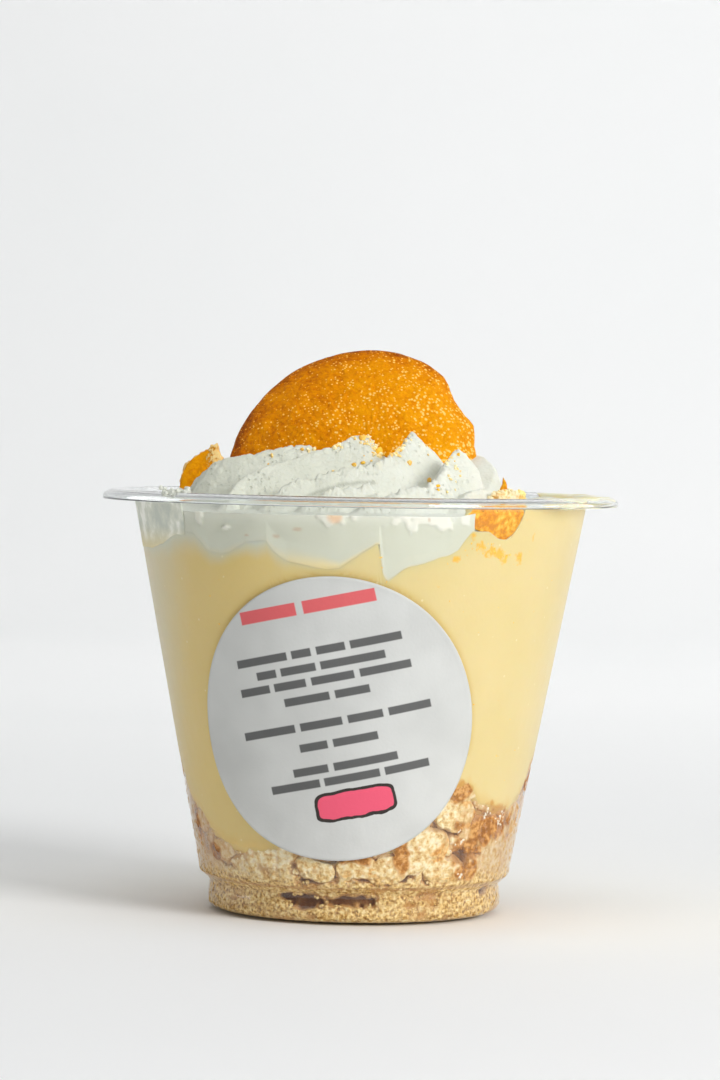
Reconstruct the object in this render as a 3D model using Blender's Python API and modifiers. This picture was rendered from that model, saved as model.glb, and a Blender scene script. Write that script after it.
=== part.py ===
"""Banana pudding in a clear squat cup.

Broken vanilla wafers fill the cup's foot. Banana pudding stands on them, and a piped swirl
of whipped cream holds one whole wafer on its edge. Two wafer fragments lie beside it, and
a round paper label is stuck on the cup's front.

Metres, +Z up. The cup stands on z = 0 with its axis on Z, and its label faces -Y.
An angle is in degrees about the cup's axis, from +X towards +Y, so the front is at -90.
"""

import math
import random

import bmesh
import bpy
import numpy as np
from mathutils import Matrix, Vector

# The cup

SECTORS = 56  # facets round the cup and every filling
CUP_HEIGHT = 0.0750
RIM_R = 0.0460
WALL = 0.0005  # thickness of the plastic
GAP = 0.0003  # air between solids that touch

# The side that the food touches, from the middle of the floor up to the lip: radius, height
FOOD_SIDE = (
    (0.0, 0.0020),
    (0.0205, 0.0020),
    (0.0220, WALL),
    (0.0253, WALL),
    (0.0263, 0.0014),
    (0.02635, 0.0032),
    (0.0261, 0.0055),
    (0.0279, 0.0070),
    (0.02822, 0.0089),
    (0.04049, 0.0731),
)
LIP = (
    (0.0413, 0.0745),
    (0.0426, CUP_HEIGHT),
    (0.0449, CUP_HEIGHT),
    (RIM_R, 0.0743),
    (RIM_R, 0.0731),
)
WALL_FOOT = FOOD_SIDE[-2]  # where the straight wall begins, above the shoulder
WALL_HEAD = FOOD_SIDE[-1]
FLOOR_POINTS = 4  # how many of the points above belong to the floor

# The wafer crumbs

CRUMB_MIDDLE = 0.0180  # height of the layer on the cup's axis
CRUMB_LUMP = 0.0018  # how far its top rises and sinks
CRUMB_LUMP_SIZE = 0.17  # distance between those lumps, as a share of the layer's radius
CRUMB_POCKET = 0.0009  # how far its side stands back from the wall
POCKET_DEPTH = 0.00055  # how much that varies
POCKETS_ROUND = 6  # how often it varies round the cup
POCKETS_UP = 240  # and up the wall, for each metre
FLOOR_SLACK = 0.0006  # how far its underside keeps outside the raised floor's edge
# Where its top meets the wall: angle, height
CRUMB_LINE = (
    (-180, 0.0300),
    (-172, 0.0270),
    (-164, 0.0207),
    (-155, 0.0178),
    (-146, 0.0147),
    (-132, 0.0125),
    (-116, 0.0133),
    (-95, 0.0155),
    (-78, 0.0150),
    (-65, 0.0179),
    (-59, 0.0233),
    (-51, 0.0253),
    (-45, 0.0208),
    (-27, 0.0196),
    (-18, 0.0220),
    (-9, 0.0270),
    (2, 0.0300),
    (20, 0.0240),
    (40, 0.0190),
    (62, 0.0160),
    (85, 0.0190),
    (105, 0.0230),
    (125, 0.0170),
    (145, 0.0200),
    (165, 0.0270),
)
# Large broken pieces that press on the wall: angle, height, length, width, thickness
CHUNKS = (
    (-66, 0.0142, 0.0098, 0.0080, 0.0062),
    (-77, 0.0105, 0.0084, 0.0066, 0.0056),
    (-55, 0.0202, 0.0096, 0.0078, 0.0060),
    (-40, 0.0165, 0.0090, 0.0078, 0.0056),
    (-51, 0.0245, 0.0080, 0.0056, 0.0050),
    (-56, 0.0100, 0.0082, 0.0056, 0.0050),
    (-89, 0.0108, 0.0080, 0.0060, 0.0050),
    (-104, 0.0104, 0.0074, 0.0056, 0.0050),
    (-143, 0.0130, 0.0070, 0.0060, 0.0046),
    (-156, 0.0172, 0.0070, 0.0052, 0.0046),
    (-20, 0.0186, 0.0078, 0.0064, 0.0050),
    (-8, 0.0250, 0.0066, 0.0050, 0.0044),
    (-174, 0.0262, 0.0066, 0.0050, 0.0044),
)
CHUNK_INSET = 0.0024  # from the wall to a chunk's centre
CHUNK_ROUGH = 0.12  # how uneven a chunk is, as a share of its size
CHUNK_LEAN = 0.7  # radians that a chunk leans at most
ROUND_CHUNKS = 3  # the first of them have more faces
# The chunks of the back, spread evenly from an angle over an arc, under the crumb line
BACK_CHUNKS = 9
BACK_CHUNK_FROM = 12
BACK_CHUNK_ARC = 160
BACK_CHUNK_LOW = 0.0098  # lowest centre
BACK_CHUNK_UNDER = 0.0010  # highest centre, under the crumb line
BACK_CHUNK_LENGTH = (0.0062, 0.0092)
BACK_CHUNK_WIDTH = 0.78  # share of its length
BACK_CHUNK_THICKNESS = 0.62

# The pudding

PUDDING_MIDDLE = 0.0520  # its height under the cream, on the axis
PUDDING_BOWL = 2.2  # power of the bowl that the cream sinks into
UNDER_CREAM = 0.0686  # its greatest height under the cream's edge
# Where its top meets the wall: angle, height
PUDDING_LINE = (
    (-180, 0.0656),
    (-160, 0.0657),
    (-152, 0.0666),
    (-148, 0.0679),
    (-144, 0.0686),
    (-137, 0.0684),
    (-134, 0.0668),
    (-132, 0.0655),
    (-128, 0.0650),
    (-125, 0.0655),
    (-120, 0.0672),
    (-114, 0.0676),
    (-112, 0.0657),
    (-109, 0.0641),
    (-103, 0.0635),
    (-98, 0.0629),
    (-95, 0.0631),
    (-92, 0.0646),
    (-88.5, 0.0663),
    (-86, 0.0675),
    (-84.9, 0.0678),
    (-84.3, 0.0620),
    (-83.6, 0.0614),
    (-82, 0.0614),
    (-79, 0.0630),
    (-77, 0.0637),
    (-72, 0.0645),
    (-67, 0.0657),
    (-64.5, 0.0665),
    (-63, 0.0680),
    (-61, 0.0697),
    (-56, 0.0696),
    (-52, 0.0680),
    (-46, 0.0684),
    (-43.5, 0.0712),
    (-41, 0.0735),
    (-36, 0.0743),
    (-20, 0.0746),
    (20, 0.0746),
    (38, 0.0738),
    (48, 0.0710),
    (56, 0.0678),
    (70, 0.0655),
    (90, 0.0640),
    (110, 0.0662),
    (130, 0.0648),
    (150, 0.0662),
    (165, 0.0664),
)

# The whipped cream

TO_WALL = 0.0450  # a reach past the wall, so that the cream stops on it
# How far the cream reaches from the axis: angle, distance
CREAM_EDGE = (
    (-180, 0.0350),
    (-164, 0.0351),
    (-156, 0.0372),
    (-149, TO_WALL),
    (-63, TO_WALL),
    (-60, 0.0388),
    (-54, 0.0340),
    (-46, 0.0296),
    (-32, 0.0272),
    (0, 0.0266),
    (28, 0.0275),
    (44, 0.0320),
    (52, 0.0380),
    (57, TO_WALL),
    (148, TO_WALL),
    (156, 0.0372),
    (164, 0.0351),
)
# The height of the cream's top along that edge: angle, height
CREAM_BRIM = (
    (-180, 0.0738),
    (-160, 0.0735),
    (-145, 0.0722),
    (-65, 0.0722),
    (-50, 0.0745),
    (-30, 0.0752),
    (30, 0.0754),
    (50, 0.0740),
    (70, 0.0722),
    (145, 0.0722),
    (160, 0.0735),
)
SWIRL_X = -0.0040  # the swirl's middle, left of the cup's axis
SWIRL_Y = 0.0
MOUND_R = 0.0340
MOUND_FOOT = 0.0728
MOUND_TOP = 0.0785
FLANK = 1.15  # how steeply a piped ridge falls away
CREST_R = 0.0011  # roundness of its crest
# The crests that show from the front, each from the rim to its tip: x, y, z
FRONT_CRESTS = (
    ((-0.0345, -0.008, 0.0744), (-0.0305, -0.010, 0.0761), (-0.0260, -0.012, 0.0801),
     (-0.0180, -0.013, 0.0820), (-0.0092, -0.010, 0.0838)),
    ((-0.0240, -0.028, 0.0738), (-0.0218, -0.024, 0.0772), (-0.0169, -0.020, 0.0804),
     (-0.0079, -0.014, 0.0833), (-0.0009, -0.009, 0.0859)),
    ((-0.0157, -0.031, 0.0748), (-0.0086, -0.026, 0.0787), (-0.0013, -0.020, 0.0803),
     (0.0066, -0.011, 0.0840), (0.0091, -0.008, 0.0868)),
    ((-0.0084, -0.034, 0.0744), (-0.0048, -0.032, 0.0766), (0.0010, -0.028, 0.0777)),
    ((0.0019, -0.035, 0.0742), (0.0088, -0.033, 0.0762), (0.0128, -0.029, 0.0772),
     (0.0148, -0.021, 0.0811), (0.0172, -0.014, 0.0836)),
    ((0.0250, -0.010, 0.0752), (0.0247, -0.003, 0.0787), (0.0233, 0.002, 0.0810),
     (0.0206, 0.006, 0.0825)),
)
# The crests of the sides and back, spread evenly between two angles
BACK_CRESTS = 9
BACK_FROM = 12
BACK_TO = 196
CREST_TWIST = 46  # degrees that a crest turns on its way up
CREST_START_R = 0.0330
CREST_TIP_R = 0.0125
CREST_START_Z = 0.0750
CREST_TIP_Z = 0.0848
CREST_INSET = 0.0015  # a crest starts at least so far inside the cream's edge
CREST_SAMPLES = 26  # points along a crest
BRIM_SLOPE = 12  # the swirl meets its edge over a twelfth of its radius
CRUMB_SUNK = 0.4  # share of its width that a crumb sinks into the cream
# Wafer crumbs on the cream: x, y, width
TOP_CRUMBS = (
    (0.0019, -0.0100, 0.0026),
    (0.0042, -0.0102, 0.0022),
    (0.0060, -0.0098, 0.0030),
    (0.0069, -0.0128, 0.0020),
    (-0.0016, -0.0200, 0.0016),
    (0.0008, -0.0170, 0.0017),
    (0.0110, -0.0250, 0.0022),
    (0.0120, -0.0290, 0.0020),
    (0.0167, -0.0140, 0.0021),
    (0.0156, -0.0180, 0.0019),
    (-0.0106, -0.0100, 0.0016),
    (0.0180, -0.0160, 0.0018),
    (-0.0060, 0.0190, 0.0024),
    (0.0050, 0.0230, 0.0020),
    (-0.0180, 0.0140, 0.0019),
)

# The whole wafer, its flat side down before it is stood up

WAFER_R = 0.0243
WAFER_STEPS = 44
# From the middle of the dome over the edge to the middle of the flat side: share of radius, height
WAFER_PROFILE = (
    (0.0, 0.0092),
    (0.25, 0.0089),
    (0.50, 0.0079),
    (0.70, 0.0064),
    (0.86, 0.0046),
    (0.96, 0.0030),
    (1.0, 0.0017),
    (0.985, 0.0006),
    (0.945, 0.0),
    (0.55, 0.0002),
    (0.0, 0.0004),
)
WAFER_EDGE_Z = 0.0017  # height of the widest ring
WAFER_SWELL = 0.03  # how uneven its dome is, as a share of its height
WAFER_SWELL_SIZE = 0.012
# Where the wafer is narrower than round: angle on its face, share of radius
WAFER_OUTLINE = (
    (-180, 1.004),
    (-120, 0.995),
    (-60, 0.970),
    (-20, 0.885),
    (0, 0.855),
    (15, 0.862),
    (22, 0.892),
    (31, 0.905),
    (44, 0.965),
    (52, 0.988),
    (64, 1.0),
    (140, 1.004),
)
WAFER_LEAN = 22  # degrees back from upright
WAFER_PLACE = (0.0003, 0.0020, 0.0788)  # centre of the widest ring

# The two fragments, as they stand: an outline seen on the domed face, x across and y up

LEFT_OUTLINE = (
    (-0.0040, -0.0010),
    (-0.0036, 0.0008),
    (-0.0029, 0.0031),
    (-0.0010, 0.0046),
    (0.0013, 0.0060),
    (0.0026, 0.0072),
    (0.0029, 0.0053),
    (0.0038, 0.0039),
    (0.0036, -0.0010),
    (0.0026, -0.0065),
    (-0.0015, -0.0078),
    (-0.0040, -0.0050),
)
LEFT_ON_FACE = (-0.0118, 0.0115)  # the part of a whole wafer that it comes from
LEFT_PLACE = (-0.0289, 0.0040, 0.0768)
LEFT_LEAN = 12  # degrees back from upright
LEFT_FACING = 0  # degrees that its face turns from -Y towards +X
RIGHT_OUTLINE = (
    (-0.0068, -0.0002),
    (-0.0056, -0.0015),
    (-0.0036, -0.0025),
    (-0.0022, -0.0027),
    (0.0006, -0.0045),
    (0.0048, -0.0041),
    (0.0066, -0.0015),
    (0.0066, 0.0014),
    (0.0046, 0.0042),
    (0.0020, 0.0032),
    (0.0003, 0.0060),
    (-0.0014, 0.0034),
    (-0.0034, 0.0040),
    (-0.0050, 0.0018),
)
RIGHT_ON_FACE = (0.0040, -0.0060)
RIGHT_PLACE = (0.0204, -0.0271, 0.0727)
RIGHT_LEAN = -6  # it leans out, as the wall does
RIGHT_FACING = 34
FRAGMENT_STEPS = 40
FRAGMENT_REACH = 0.0120  # height of the block that breaks a fragment out of a wafer
FRAGMENT_MIDDLE = 0.0031  # the height in the wafer that its place refers to

# The label

LABEL_R = 0.0254
LABEL_ANGLE = -97.0
LABEL_HEIGHT = 0.0368  # of its centre
LABEL_THICKNESS = 0.0003
LABEL_COLUMNS = 20


def clear_scene():
    for obj in list(bpy.data.objects):
        bpy.data.objects.remove(obj)


def collection(name):
    made = bpy.data.collections.new(name)
    bpy.context.scene.collection.children.link(made)
    return made


def finish(obj, colour, roughness, transmission=0.0):
    """Gives an object its own Principled material."""
    material = bpy.data.materials.new(obj.name)
    material.use_nodes = True
    shader = material.node_tree.nodes["Principled BSDF"]
    shader.inputs["Base Color"].default_value = (*colour, 1.0)
    shader.inputs["Roughness"].default_value = roughness
    shader.inputs["Metallic"].default_value = 0.0
    shader.inputs["Transmission Weight"].default_value = transmission
    obj.data.materials.clear()
    obj.data.materials.append(material)


def turned(name, profile, steps, group):
    """A profile of (radius, height) points turned about Z by a Screw modifier."""
    mesh = bpy.data.meshes.new(name)
    edges = [(i, i + 1) for i in range(len(profile) - 1)]
    mesh.from_pydata([(radius, 0.0, height) for radius, height in profile], edges, [])
    obj = bpy.data.objects.new(name, mesh)
    group.objects.link(obj)
    screw = obj.modifiers.new("turn", "SCREW")
    screw.axis = "Z"
    screw.steps = steps
    screw.render_steps = steps
    screw.use_merge_vertices = True
    screw.merge_threshold = 0.00001
    return obj


def apply_modifiers(obj):
    depsgraph = bpy.context.evaluated_depsgraph_get()
    mesh = bpy.data.meshes.new_from_object(obj.evaluated_get(depsgraph))
    obj.modifiers.clear()
    obj.data = mesh


def reshape(obj, move):
    """Moves every point of a mesh by a function of all its points."""
    points = np.empty(len(obj.data.vertices) * 3)
    obj.data.vertices.foreach_get("co", points)
    moved = move(points.reshape(-1, 3))
    obj.data.vertices.foreach_set("co", moved.ravel())
    obj.data.update()


def tidy_mesh(obj, merge=0.00002):
    """Merges points that fell together and splits quads along their shorter diagonal."""
    bm = bmesh.new()
    bm.from_mesh(obj.data)
    bmesh.ops.remove_doubles(bm, verts=bm.verts, dist=merge)
    bmesh.ops.dissolve_degenerate(bm, edges=bm.edges, dist=merge)
    bmesh.ops.triangulate(bm, faces=bm.faces, quad_method="SHORT_EDGE")
    bm.to_mesh(obj.data)
    bm.free()


def boolean(obj, operation, other):
    """Joins, cuts or clips an object with another object or with a collection."""
    modifier = obj.modifiers.new(operation.lower(), "BOOLEAN")
    modifier.operation = operation
    if isinstance(other, bpy.types.Collection):
        modifier.operand_type = "COLLECTION"
        modifier.collection = other
    else:
        modifier.object = other
    apply_modifiers(obj)


def as_cutter(obj):
    obj.hide_render = True
    obj.display_type = "WIRE"
    return obj


def grown(obj, by, group):
    """A copy of a solid whose points stand out along their normals, as a cutter."""
    copy = bpy.data.objects.new(obj.name + "_room", obj.data.copy())
    group.objects.link(copy)
    copy.matrix_world = obj.matrix_world
    bm = bmesh.new()
    bm.from_mesh(copy.data)
    for vert in bm.verts:
        vert.co += vert.normal * by
    bm.to_mesh(copy.data)
    bm.free()
    return as_cutter(copy)


def round_table(table, angle):
    """Reads a table of (degrees, value) pairs at any angle in radians, all the way round."""
    degrees = [pair[0] for pair in table]
    values = [pair[1] for pair in table]
    return np.interp(np.degrees(angle), degrees, values, period=360)


def fill_radius(height):
    """The radius that a filling reaches at a height: the wall's inside less the gap."""
    side = FOOD_SIDE[FLOOR_POINTS - 1 :]
    radii = [point[0] for point in side]
    heights = [point[1] for point in side]
    return np.interp(height, heights, radii) - GAP


def floor_height(radius):
    """The height of the cup's floor at a radius, plus the gap."""
    floor = FOOD_SIDE[:FLOOR_POINTS]
    return np.interp(radius, [point[0] for point in floor], [point[1] for point in floor]) + GAP


def lumps(x, y, scale):
    """A rounded unevenness between -1 and 1 with no repeat that shows."""
    u = x / scale
    v = y / scale
    waves = np.sin(1.9 * u + 0.7 * v) + np.sin(2.3 * v - 1.1 * u + 1.3)
    return (waves + np.sin(3.1 * u + 2.9 * v + 0.4) * np.sin(1.3 * u - 3.7 * v)) / 3


def layer(name, top_rings, side_rows, bottom_rings, place, group):
    """A filling: a unit plug turned from rings and rows, whose points a function then places.

    place(share, angle, level) gives radius and height. share runs from 0 on the axis to 1
    at the side, and level from 0 on the bottom sheet to 1 on the top sheet.
    """
    profile = [(share, 1.0) for share in top_rings]
    profile += [(1.0, level) for level in side_rows]
    profile += [(share, 0.0) for share in reversed(bottom_rings)]
    plug = turned(name, profile, SECTORS, group)
    apply_modifiers(plug)

    def move(points):
        share = np.hypot(points[:, 0], points[:, 1])
        angle = np.arctan2(points[:, 1], points[:, 0])
        radius, height = place(share, angle, points[:, 2])
        return np.column_stack([radius * np.cos(angle), radius * np.sin(angle), height])

    reshape(plug, move)
    tidy_mesh(plug)
    return plug


def steps_to_one(count):
    return [i / count for i in range(count + 1)]


def make_cup(group):
    """The thin clear sheet of the cup, thickened away from the food."""
    cup = turned("cup", FOOD_SIDE + LIP, SECTORS, group)
    sheet = cup.modifiers.new("plastic", "SOLIDIFY")
    sheet.thickness = WALL
    sheet.offset = -1.0
    sheet.use_even_offset = True
    apply_modifiers(cup)
    cup.data.shade_smooth()
    cup.data.set_sharp_from_angle(angle=math.radians(40))
    finish(cup, (0.95, 0.97, 0.97), 0.05, transmission=1.0)
    return cup


# Rings are shares of a layer's radius, rows are levels up its side
CRUMB_RINGS = steps_to_one(7)
CRUMB_ROWS = (0.83, 0.66, 0.5, 0.4, 0.3, 0.2, 0.1)
CRUMB_FLOOR_RINGS = (0, 0.84, 0.90, 1.0)
FOOT_LEVELS = (0.0, 0.2, 0.4, 0.6, 0.8, 1.0)
FOOT_HEIGHTS = (WALL + GAP, 0.0016, 0.0032, 0.0055, 0.0071, 0.0089)


def crumb_top(share, angle):
    edge = round_table(CRUMB_LINE, angle)
    bumps = lumps(share * np.cos(angle), share * np.sin(angle), CRUMB_LUMP_SIZE)
    inside = CRUMB_MIDDLE + CRUMB_LUMP * bumps
    return inside + (edge - inside) * share**3


def place_crumbs(share, angle, level):
    """The core of the crumb layer. The lower half of its levels fill the cup's foot."""
    foot = np.interp(level * 2, FOOT_LEVELS, FOOT_HEIGHTS)
    top = crumb_top(share, angle)
    above = WALL_FOOT[1] + (top - WALL_FOOT[1]) * (level * 2 - 1)
    height = np.where(level > 0.5, above, foot)
    pocket = CRUMB_POCKET + POCKET_DEPTH * lumps(angle * POCKETS_ROUND, height * POCKETS_UP, 1.0)
    pocket = np.where(level >= 1, 0.0, np.maximum(pocket, 0.5 * CRUMB_POCKET))
    radius = share * (fill_radius(height) - pocket)
    height = np.where(level <= 0, floor_height(radius - FLOOR_SLACK), height)
    return radius, height


def chunk(name, spec, number, spare, group):
    """One broken wafer piece near the wall: a rough rounded lump, spare larger all round."""
    angle, height, length, width, thickness = spec
    rng = random.Random(400 + number)
    bm = bmesh.new()
    rounds = 2 if number < ROUND_CHUNKS else 1
    bmesh.ops.create_icosphere(bm, subdivisions=rounds, radius=1.0)
    for vert in bm.verts:
        rough = 1.0 + rng.uniform(-CHUNK_ROUGH, CHUNK_ROUGH)
        vert.co.x *= rough * length / 2 + spare
        vert.co.y *= rough * thickness / 2 + spare
        vert.co.z *= rough * width / 2 + spare
    mesh = bpy.data.meshes.new(name)
    bm.to_mesh(mesh)
    bm.free()
    obj = bpy.data.objects.new(name, mesh)
    group.objects.link(obj)
    turn = math.radians(angle)
    out = float(fill_radius(height)) - CHUNK_INSET
    obj.location = (out * math.cos(turn), out * math.sin(turn), height)
    lean = Matrix.Rotation(rng.uniform(-CHUNK_LEAN, CHUNK_LEAN), 4, "Y")
    along_wall = Matrix.Rotation(turn + math.pi / 2, 4, "Z")
    obj.matrix_world = Matrix.Translation(obj.location) @ along_wall @ lean
    return obj


def all_chunks():
    """The listed chunks, then a ring of them over the back, under the crumb line."""
    rng = random.Random(77)
    found = list(CHUNKS)
    for i in range(BACK_CHUNKS):
        angle = BACK_CHUNK_FROM + (BACK_CHUNK_ARC / BACK_CHUNKS) * (i + rng.uniform(0.2, 0.8))
        edge = float(round_table(CRUMB_LINE, math.radians(angle)))
        height = rng.uniform(BACK_CHUNK_LOW, edge - BACK_CHUNK_UNDER)
        size = rng.uniform(*BACK_CHUNK_LENGTH)
        found.append((angle, height, size, size * BACK_CHUNK_WIDTH, size * BACK_CHUNK_THICKNESS))
    return found


def make_crumbs(group):
    """The crumb core with its chunks joined on, clipped to the inside of the cup."""
    crumbs = layer(
        "wafer_crumbs", CRUMB_RINGS, CRUMB_ROWS, CRUMB_FLOOR_RINGS, place_crumbs, group
    )
    loose = collection("chunks")
    for number, spec in enumerate(all_chunks()):
        chunk(f"chunk_{number}", spec, number, 0.0, loose)
    boolean(crumbs, "UNION", loose)
    for obj in list(loose.objects):
        bpy.data.objects.remove(obj)
    bpy.data.collections.remove(loose)
    heights = [point[1] for point in reversed(FOOD_SIDE[FLOOR_POINTS:])]
    inside = [(0.0, heights[0])] + [(float(fill_radius(h)) + GAP / 10, h) for h in heights]
    low = WALL + GAP / 2
    inside += [(FOOD_SIDE[FLOOR_POINTS - 1][0] - GAP, low), (0.0, low)]
    clip = turned("inside_of_cup", inside, SECTORS, group)
    boolean(crumbs, "INTERSECT", clip)
    bpy.data.objects.remove(clip)
    finish(crumbs, (0.78, 0.60, 0.38), 0.9)
    return crumbs


CREAM_RINGS = steps_to_one(6)
CREAM_TOP_RINGS = (0, 0.12, 0.22, 0.32, 0.41, 0.5, 0.58, 0.66, 0.73, 0.8, 0.86, 0.92, 1.0)
CREAM_ROWS = (0.5,)
CREAM_SHARE = 0.8  # the pudding's rings out to this share lie under the cream
BARE_RINGS = (0.85, 0.92, 1.0)  # the rest lie between the cream and the wall
BARE_RISE = 4  # the pudding climbs from under the cream over a quarter of that width
PUDDING_ROWS = (0.66, 0.33)


def cream_reach(angle, height, spare=0.0):
    """The radius where the cream ends: its own edge, or the wall where it reaches it."""
    return np.minimum(round_table(CREAM_EDGE, angle) + spare, fill_radius(height))


def under_cream(share, angle):
    """The bowl in the pudding that the cream fills."""
    edge = np.minimum(round_table(PUDDING_LINE, angle), UNDER_CREAM)
    return PUDDING_MIDDLE + (edge - PUDDING_MIDDLE) * share**PUDDING_BOWL


def place_pudding(share, angle, level):
    wall_line = round_table(PUDDING_LINE, angle)
    inner = np.minimum(share / CREAM_SHARE, 1.0)
    outer = np.clip((share - CREAM_SHARE) / (1 - CREAM_SHARE), 0.0, 1.0)
    bowl = under_cream(inner, angle)
    top = bowl + (wall_line - bowl) * np.minimum(outer * BARE_RISE, 1.0)
    bottom = crumb_top(share, angle) + GAP
    height = bottom + (top - bottom) * level
    wall = fill_radius(height)
    cream = cream_reach(angle, height, GAP)
    top_radius = inner * cream + outer * (wall - cream)
    radius = np.where(level >= 1, top_radius, share * wall)
    return radius, height


def make_pudding(group, rooms):
    """The pudding on the crumbs, with room cut for whatever stands in it."""
    top_rings = [CREAM_SHARE * ring for ring in CREAM_RINGS] + list(BARE_RINGS)
    pudding = layer("pudding", top_rings, PUDDING_ROWS, CRUMB_RINGS, place_pudding, group)
    for room in rooms:
        boolean(pudding, "DIFFERENCE", room)
    finish(pudding, (0.92, 0.78, 0.38), 0.35)
    return pudding


def along(points, count):
    """Points spaced along a smooth curve through the given points."""
    knots = np.array(points)
    keys = np.linspace(0, 1, len(knots))
    fine = np.linspace(0, 1, count)
    line = np.column_stack([np.interp(fine, keys, knots[:, i]) for i in range(3)])
    for _ in range(2):
        line[1:-1] = (line[:-2] + 2 * line[1:-1] + line[2:]) / 4
    return line


def back_crest(number, rng):
    """A ridge of the sides or back that turns as it climbs from the rim to its tip."""
    share = number / (BACK_CRESTS - 1)
    start = BACK_FROM + (BACK_TO - BACK_FROM) * share + rng.uniform(-5, 5)
    twist = CREST_TWIST * rng.uniform(0.85, 1.15)
    rise = rng.uniform(-0.0012, 0.0014)
    points = []
    for step in (0.0, 0.3, 0.65, 1.0):
        angle = math.radians(start + twist * step)
        reach = min(CREST_START_R, float(round_table(CREAM_EDGE, angle)) - CREST_INSET)
        radius = reach + (CREST_TIP_R - reach) * step
        height = CREST_START_Z + (CREST_TIP_Z + rise - CREST_START_Z) * step**0.8
        x = SWIRL_X * step + radius * math.cos(angle)
        y = SWIRL_Y * step + radius * math.sin(angle)
        points.append((x, y, height))
    return points


def crest_points():
    rng = random.Random(21)
    crests = list(FRONT_CRESTS) + [back_crest(i, rng) for i in range(BACK_CRESTS)]
    return np.vstack([along(crest, CREST_SAMPLES) for crest in crests])


def cream_top(x, y, crests):
    """The height of the swirl: a low mound, and ridges with rounded crests above it."""
    away = np.hypot(x - SWIRL_X, y - SWIRL_Y) / MOUND_R
    height = MOUND_FOOT + (MOUND_TOP - MOUND_FOOT) * np.clip(1 - away**2, 0, 1)
    for crest_x, crest_y, crest_z in crests:
        off = np.hypot(x - crest_x, y - crest_y)
        ridge = crest_z - FLANK * (np.hypot(off, CREST_R) - CREST_R)
        height = np.maximum(height, ridge)
    return height


def make_cream(group, rooms):
    """The swirl with its crumbs joined on, and room cut for the wafer and the fragments."""
    crests = crest_points()

    def place(share, angle, level):
        brim = round_table(CREAM_BRIM, angle)
        bottom = under_cream(share, angle) + GAP
        rough_radius = share * cream_reach(angle, brim)
        swirl = cream_top(rough_radius * np.cos(angle), rough_radius * np.sin(angle), crests)
        inward = np.clip((1 - share) * BRIM_SLOPE, 0, 1)
        top = brim + (np.maximum(swirl, brim) - brim) * inward
        height = bottom + (top - bottom) * level
        return share * cream_reach(angle, height), height

    cream = layer("whipped_cream", CREAM_TOP_RINGS, CREAM_ROWS, CREAM_RINGS, place, group)
    loose = collection("top_crumbs")
    rng = random.Random(5)
    for number, (x, y, width) in enumerate(TOP_CRUMBS):
        bm = bmesh.new()
        bmesh.ops.create_icosphere(bm, subdivisions=1, radius=width / 2)
        for vert in bm.verts:
            vert.co *= rng.uniform(0.85, 1.15)
        mesh = bpy.data.meshes.new(f"top_crumb_{number}")
        bm.to_mesh(mesh)
        bm.free()
        crumb = bpy.data.objects.new(mesh.name, mesh)
        loose.objects.link(crumb)
        _, spot, _, _ = cream.ray_cast((x, y, 2 * CUP_HEIGHT), (0, 0, -1))
        crumb.location = (x, y, spot.z + (0.5 - CRUMB_SUNK) * width)
        crumb.rotation_euler = (rng.uniform(0, 3), rng.uniform(0, 3), 0)
    boolean(cream, "UNION", loose)
    for obj in list(loose.objects):
        bpy.data.objects.remove(obj)
    bpy.data.collections.remove(loose)
    for room in rooms:
        boolean(cream, "DIFFERENCE", room)
    finish(cream, (0.93, 0.93, 0.88), 0.6)
    return cream


def wafer_disc(name, steps, group):
    """A domed round wafer lying on its flat side."""
    profile = [(share * WAFER_R, height) for share, height in WAFER_PROFILE]
    wafer = turned(name, profile, steps, group)
    apply_modifiers(wafer)
    return wafer


def make_wafer(group):
    """The whole wafer, a little out of round, leaning back in the cream."""
    wafer = wafer_disc("vanilla_wafer", WAFER_STEPS, group)

    def trim(points):
        angle = np.arctan2(points[:, 1], points[:, 0])
        share = round_table(WAFER_OUTLINE, angle)
        near_edge = np.clip(np.hypot(points[:, 0], points[:, 1]) / WAFER_R, 0, 1)
        keep = 1 - (1 - share) * near_edge**2
        swell = 1 + WAFER_SWELL * lumps(points[:, 0], points[:, 1], WAFER_SWELL_SIZE)
        height = points[:, 2] - WAFER_EDGE_Z
        return np.column_stack([points[:, 0] * keep, points[:, 1] * keep, height * swell])

    reshape(wafer, trim)
    wafer.location = WAFER_PLACE
    wafer.rotation_euler = (math.radians(90 - WAFER_LEAN), 0, 0)
    wafer.data.shade_smooth()
    finish(wafer, (0.72, 0.36, 0.05), 0.7)
    return wafer


def outline_block(name, outline, group):
    """A closed block with the given outline, as tall as FRAGMENT_REACH each way."""
    curve = bpy.data.curves.new(name, "CURVE")
    curve.dimensions = "2D"
    curve.fill_mode = "BOTH"
    curve.extrude = FRAGMENT_REACH
    spline = curve.splines.new("POLY")
    spline.points.add(len(outline) - 1)
    for point, (x, y) in zip(spline.points, outline):
        point.co = (x, y, 0, 1)
    spline.use_cyclic_u = True
    drawn = bpy.data.objects.new(name, curve)
    group.objects.link(drawn)
    depsgraph = bpy.context.evaluated_depsgraph_get()
    mesh = bpy.data.meshes.new_from_object(drawn.evaluated_get(depsgraph))
    bpy.data.objects.remove(drawn)
    bm = bmesh.new()
    bm.from_mesh(mesh)
    bmesh.ops.remove_doubles(bm, verts=bm.verts, dist=0.00001)
    bm.to_mesh(mesh)
    bm.free()
    block = bpy.data.objects.new(name, mesh)
    group.objects.link(block)
    return block


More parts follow.
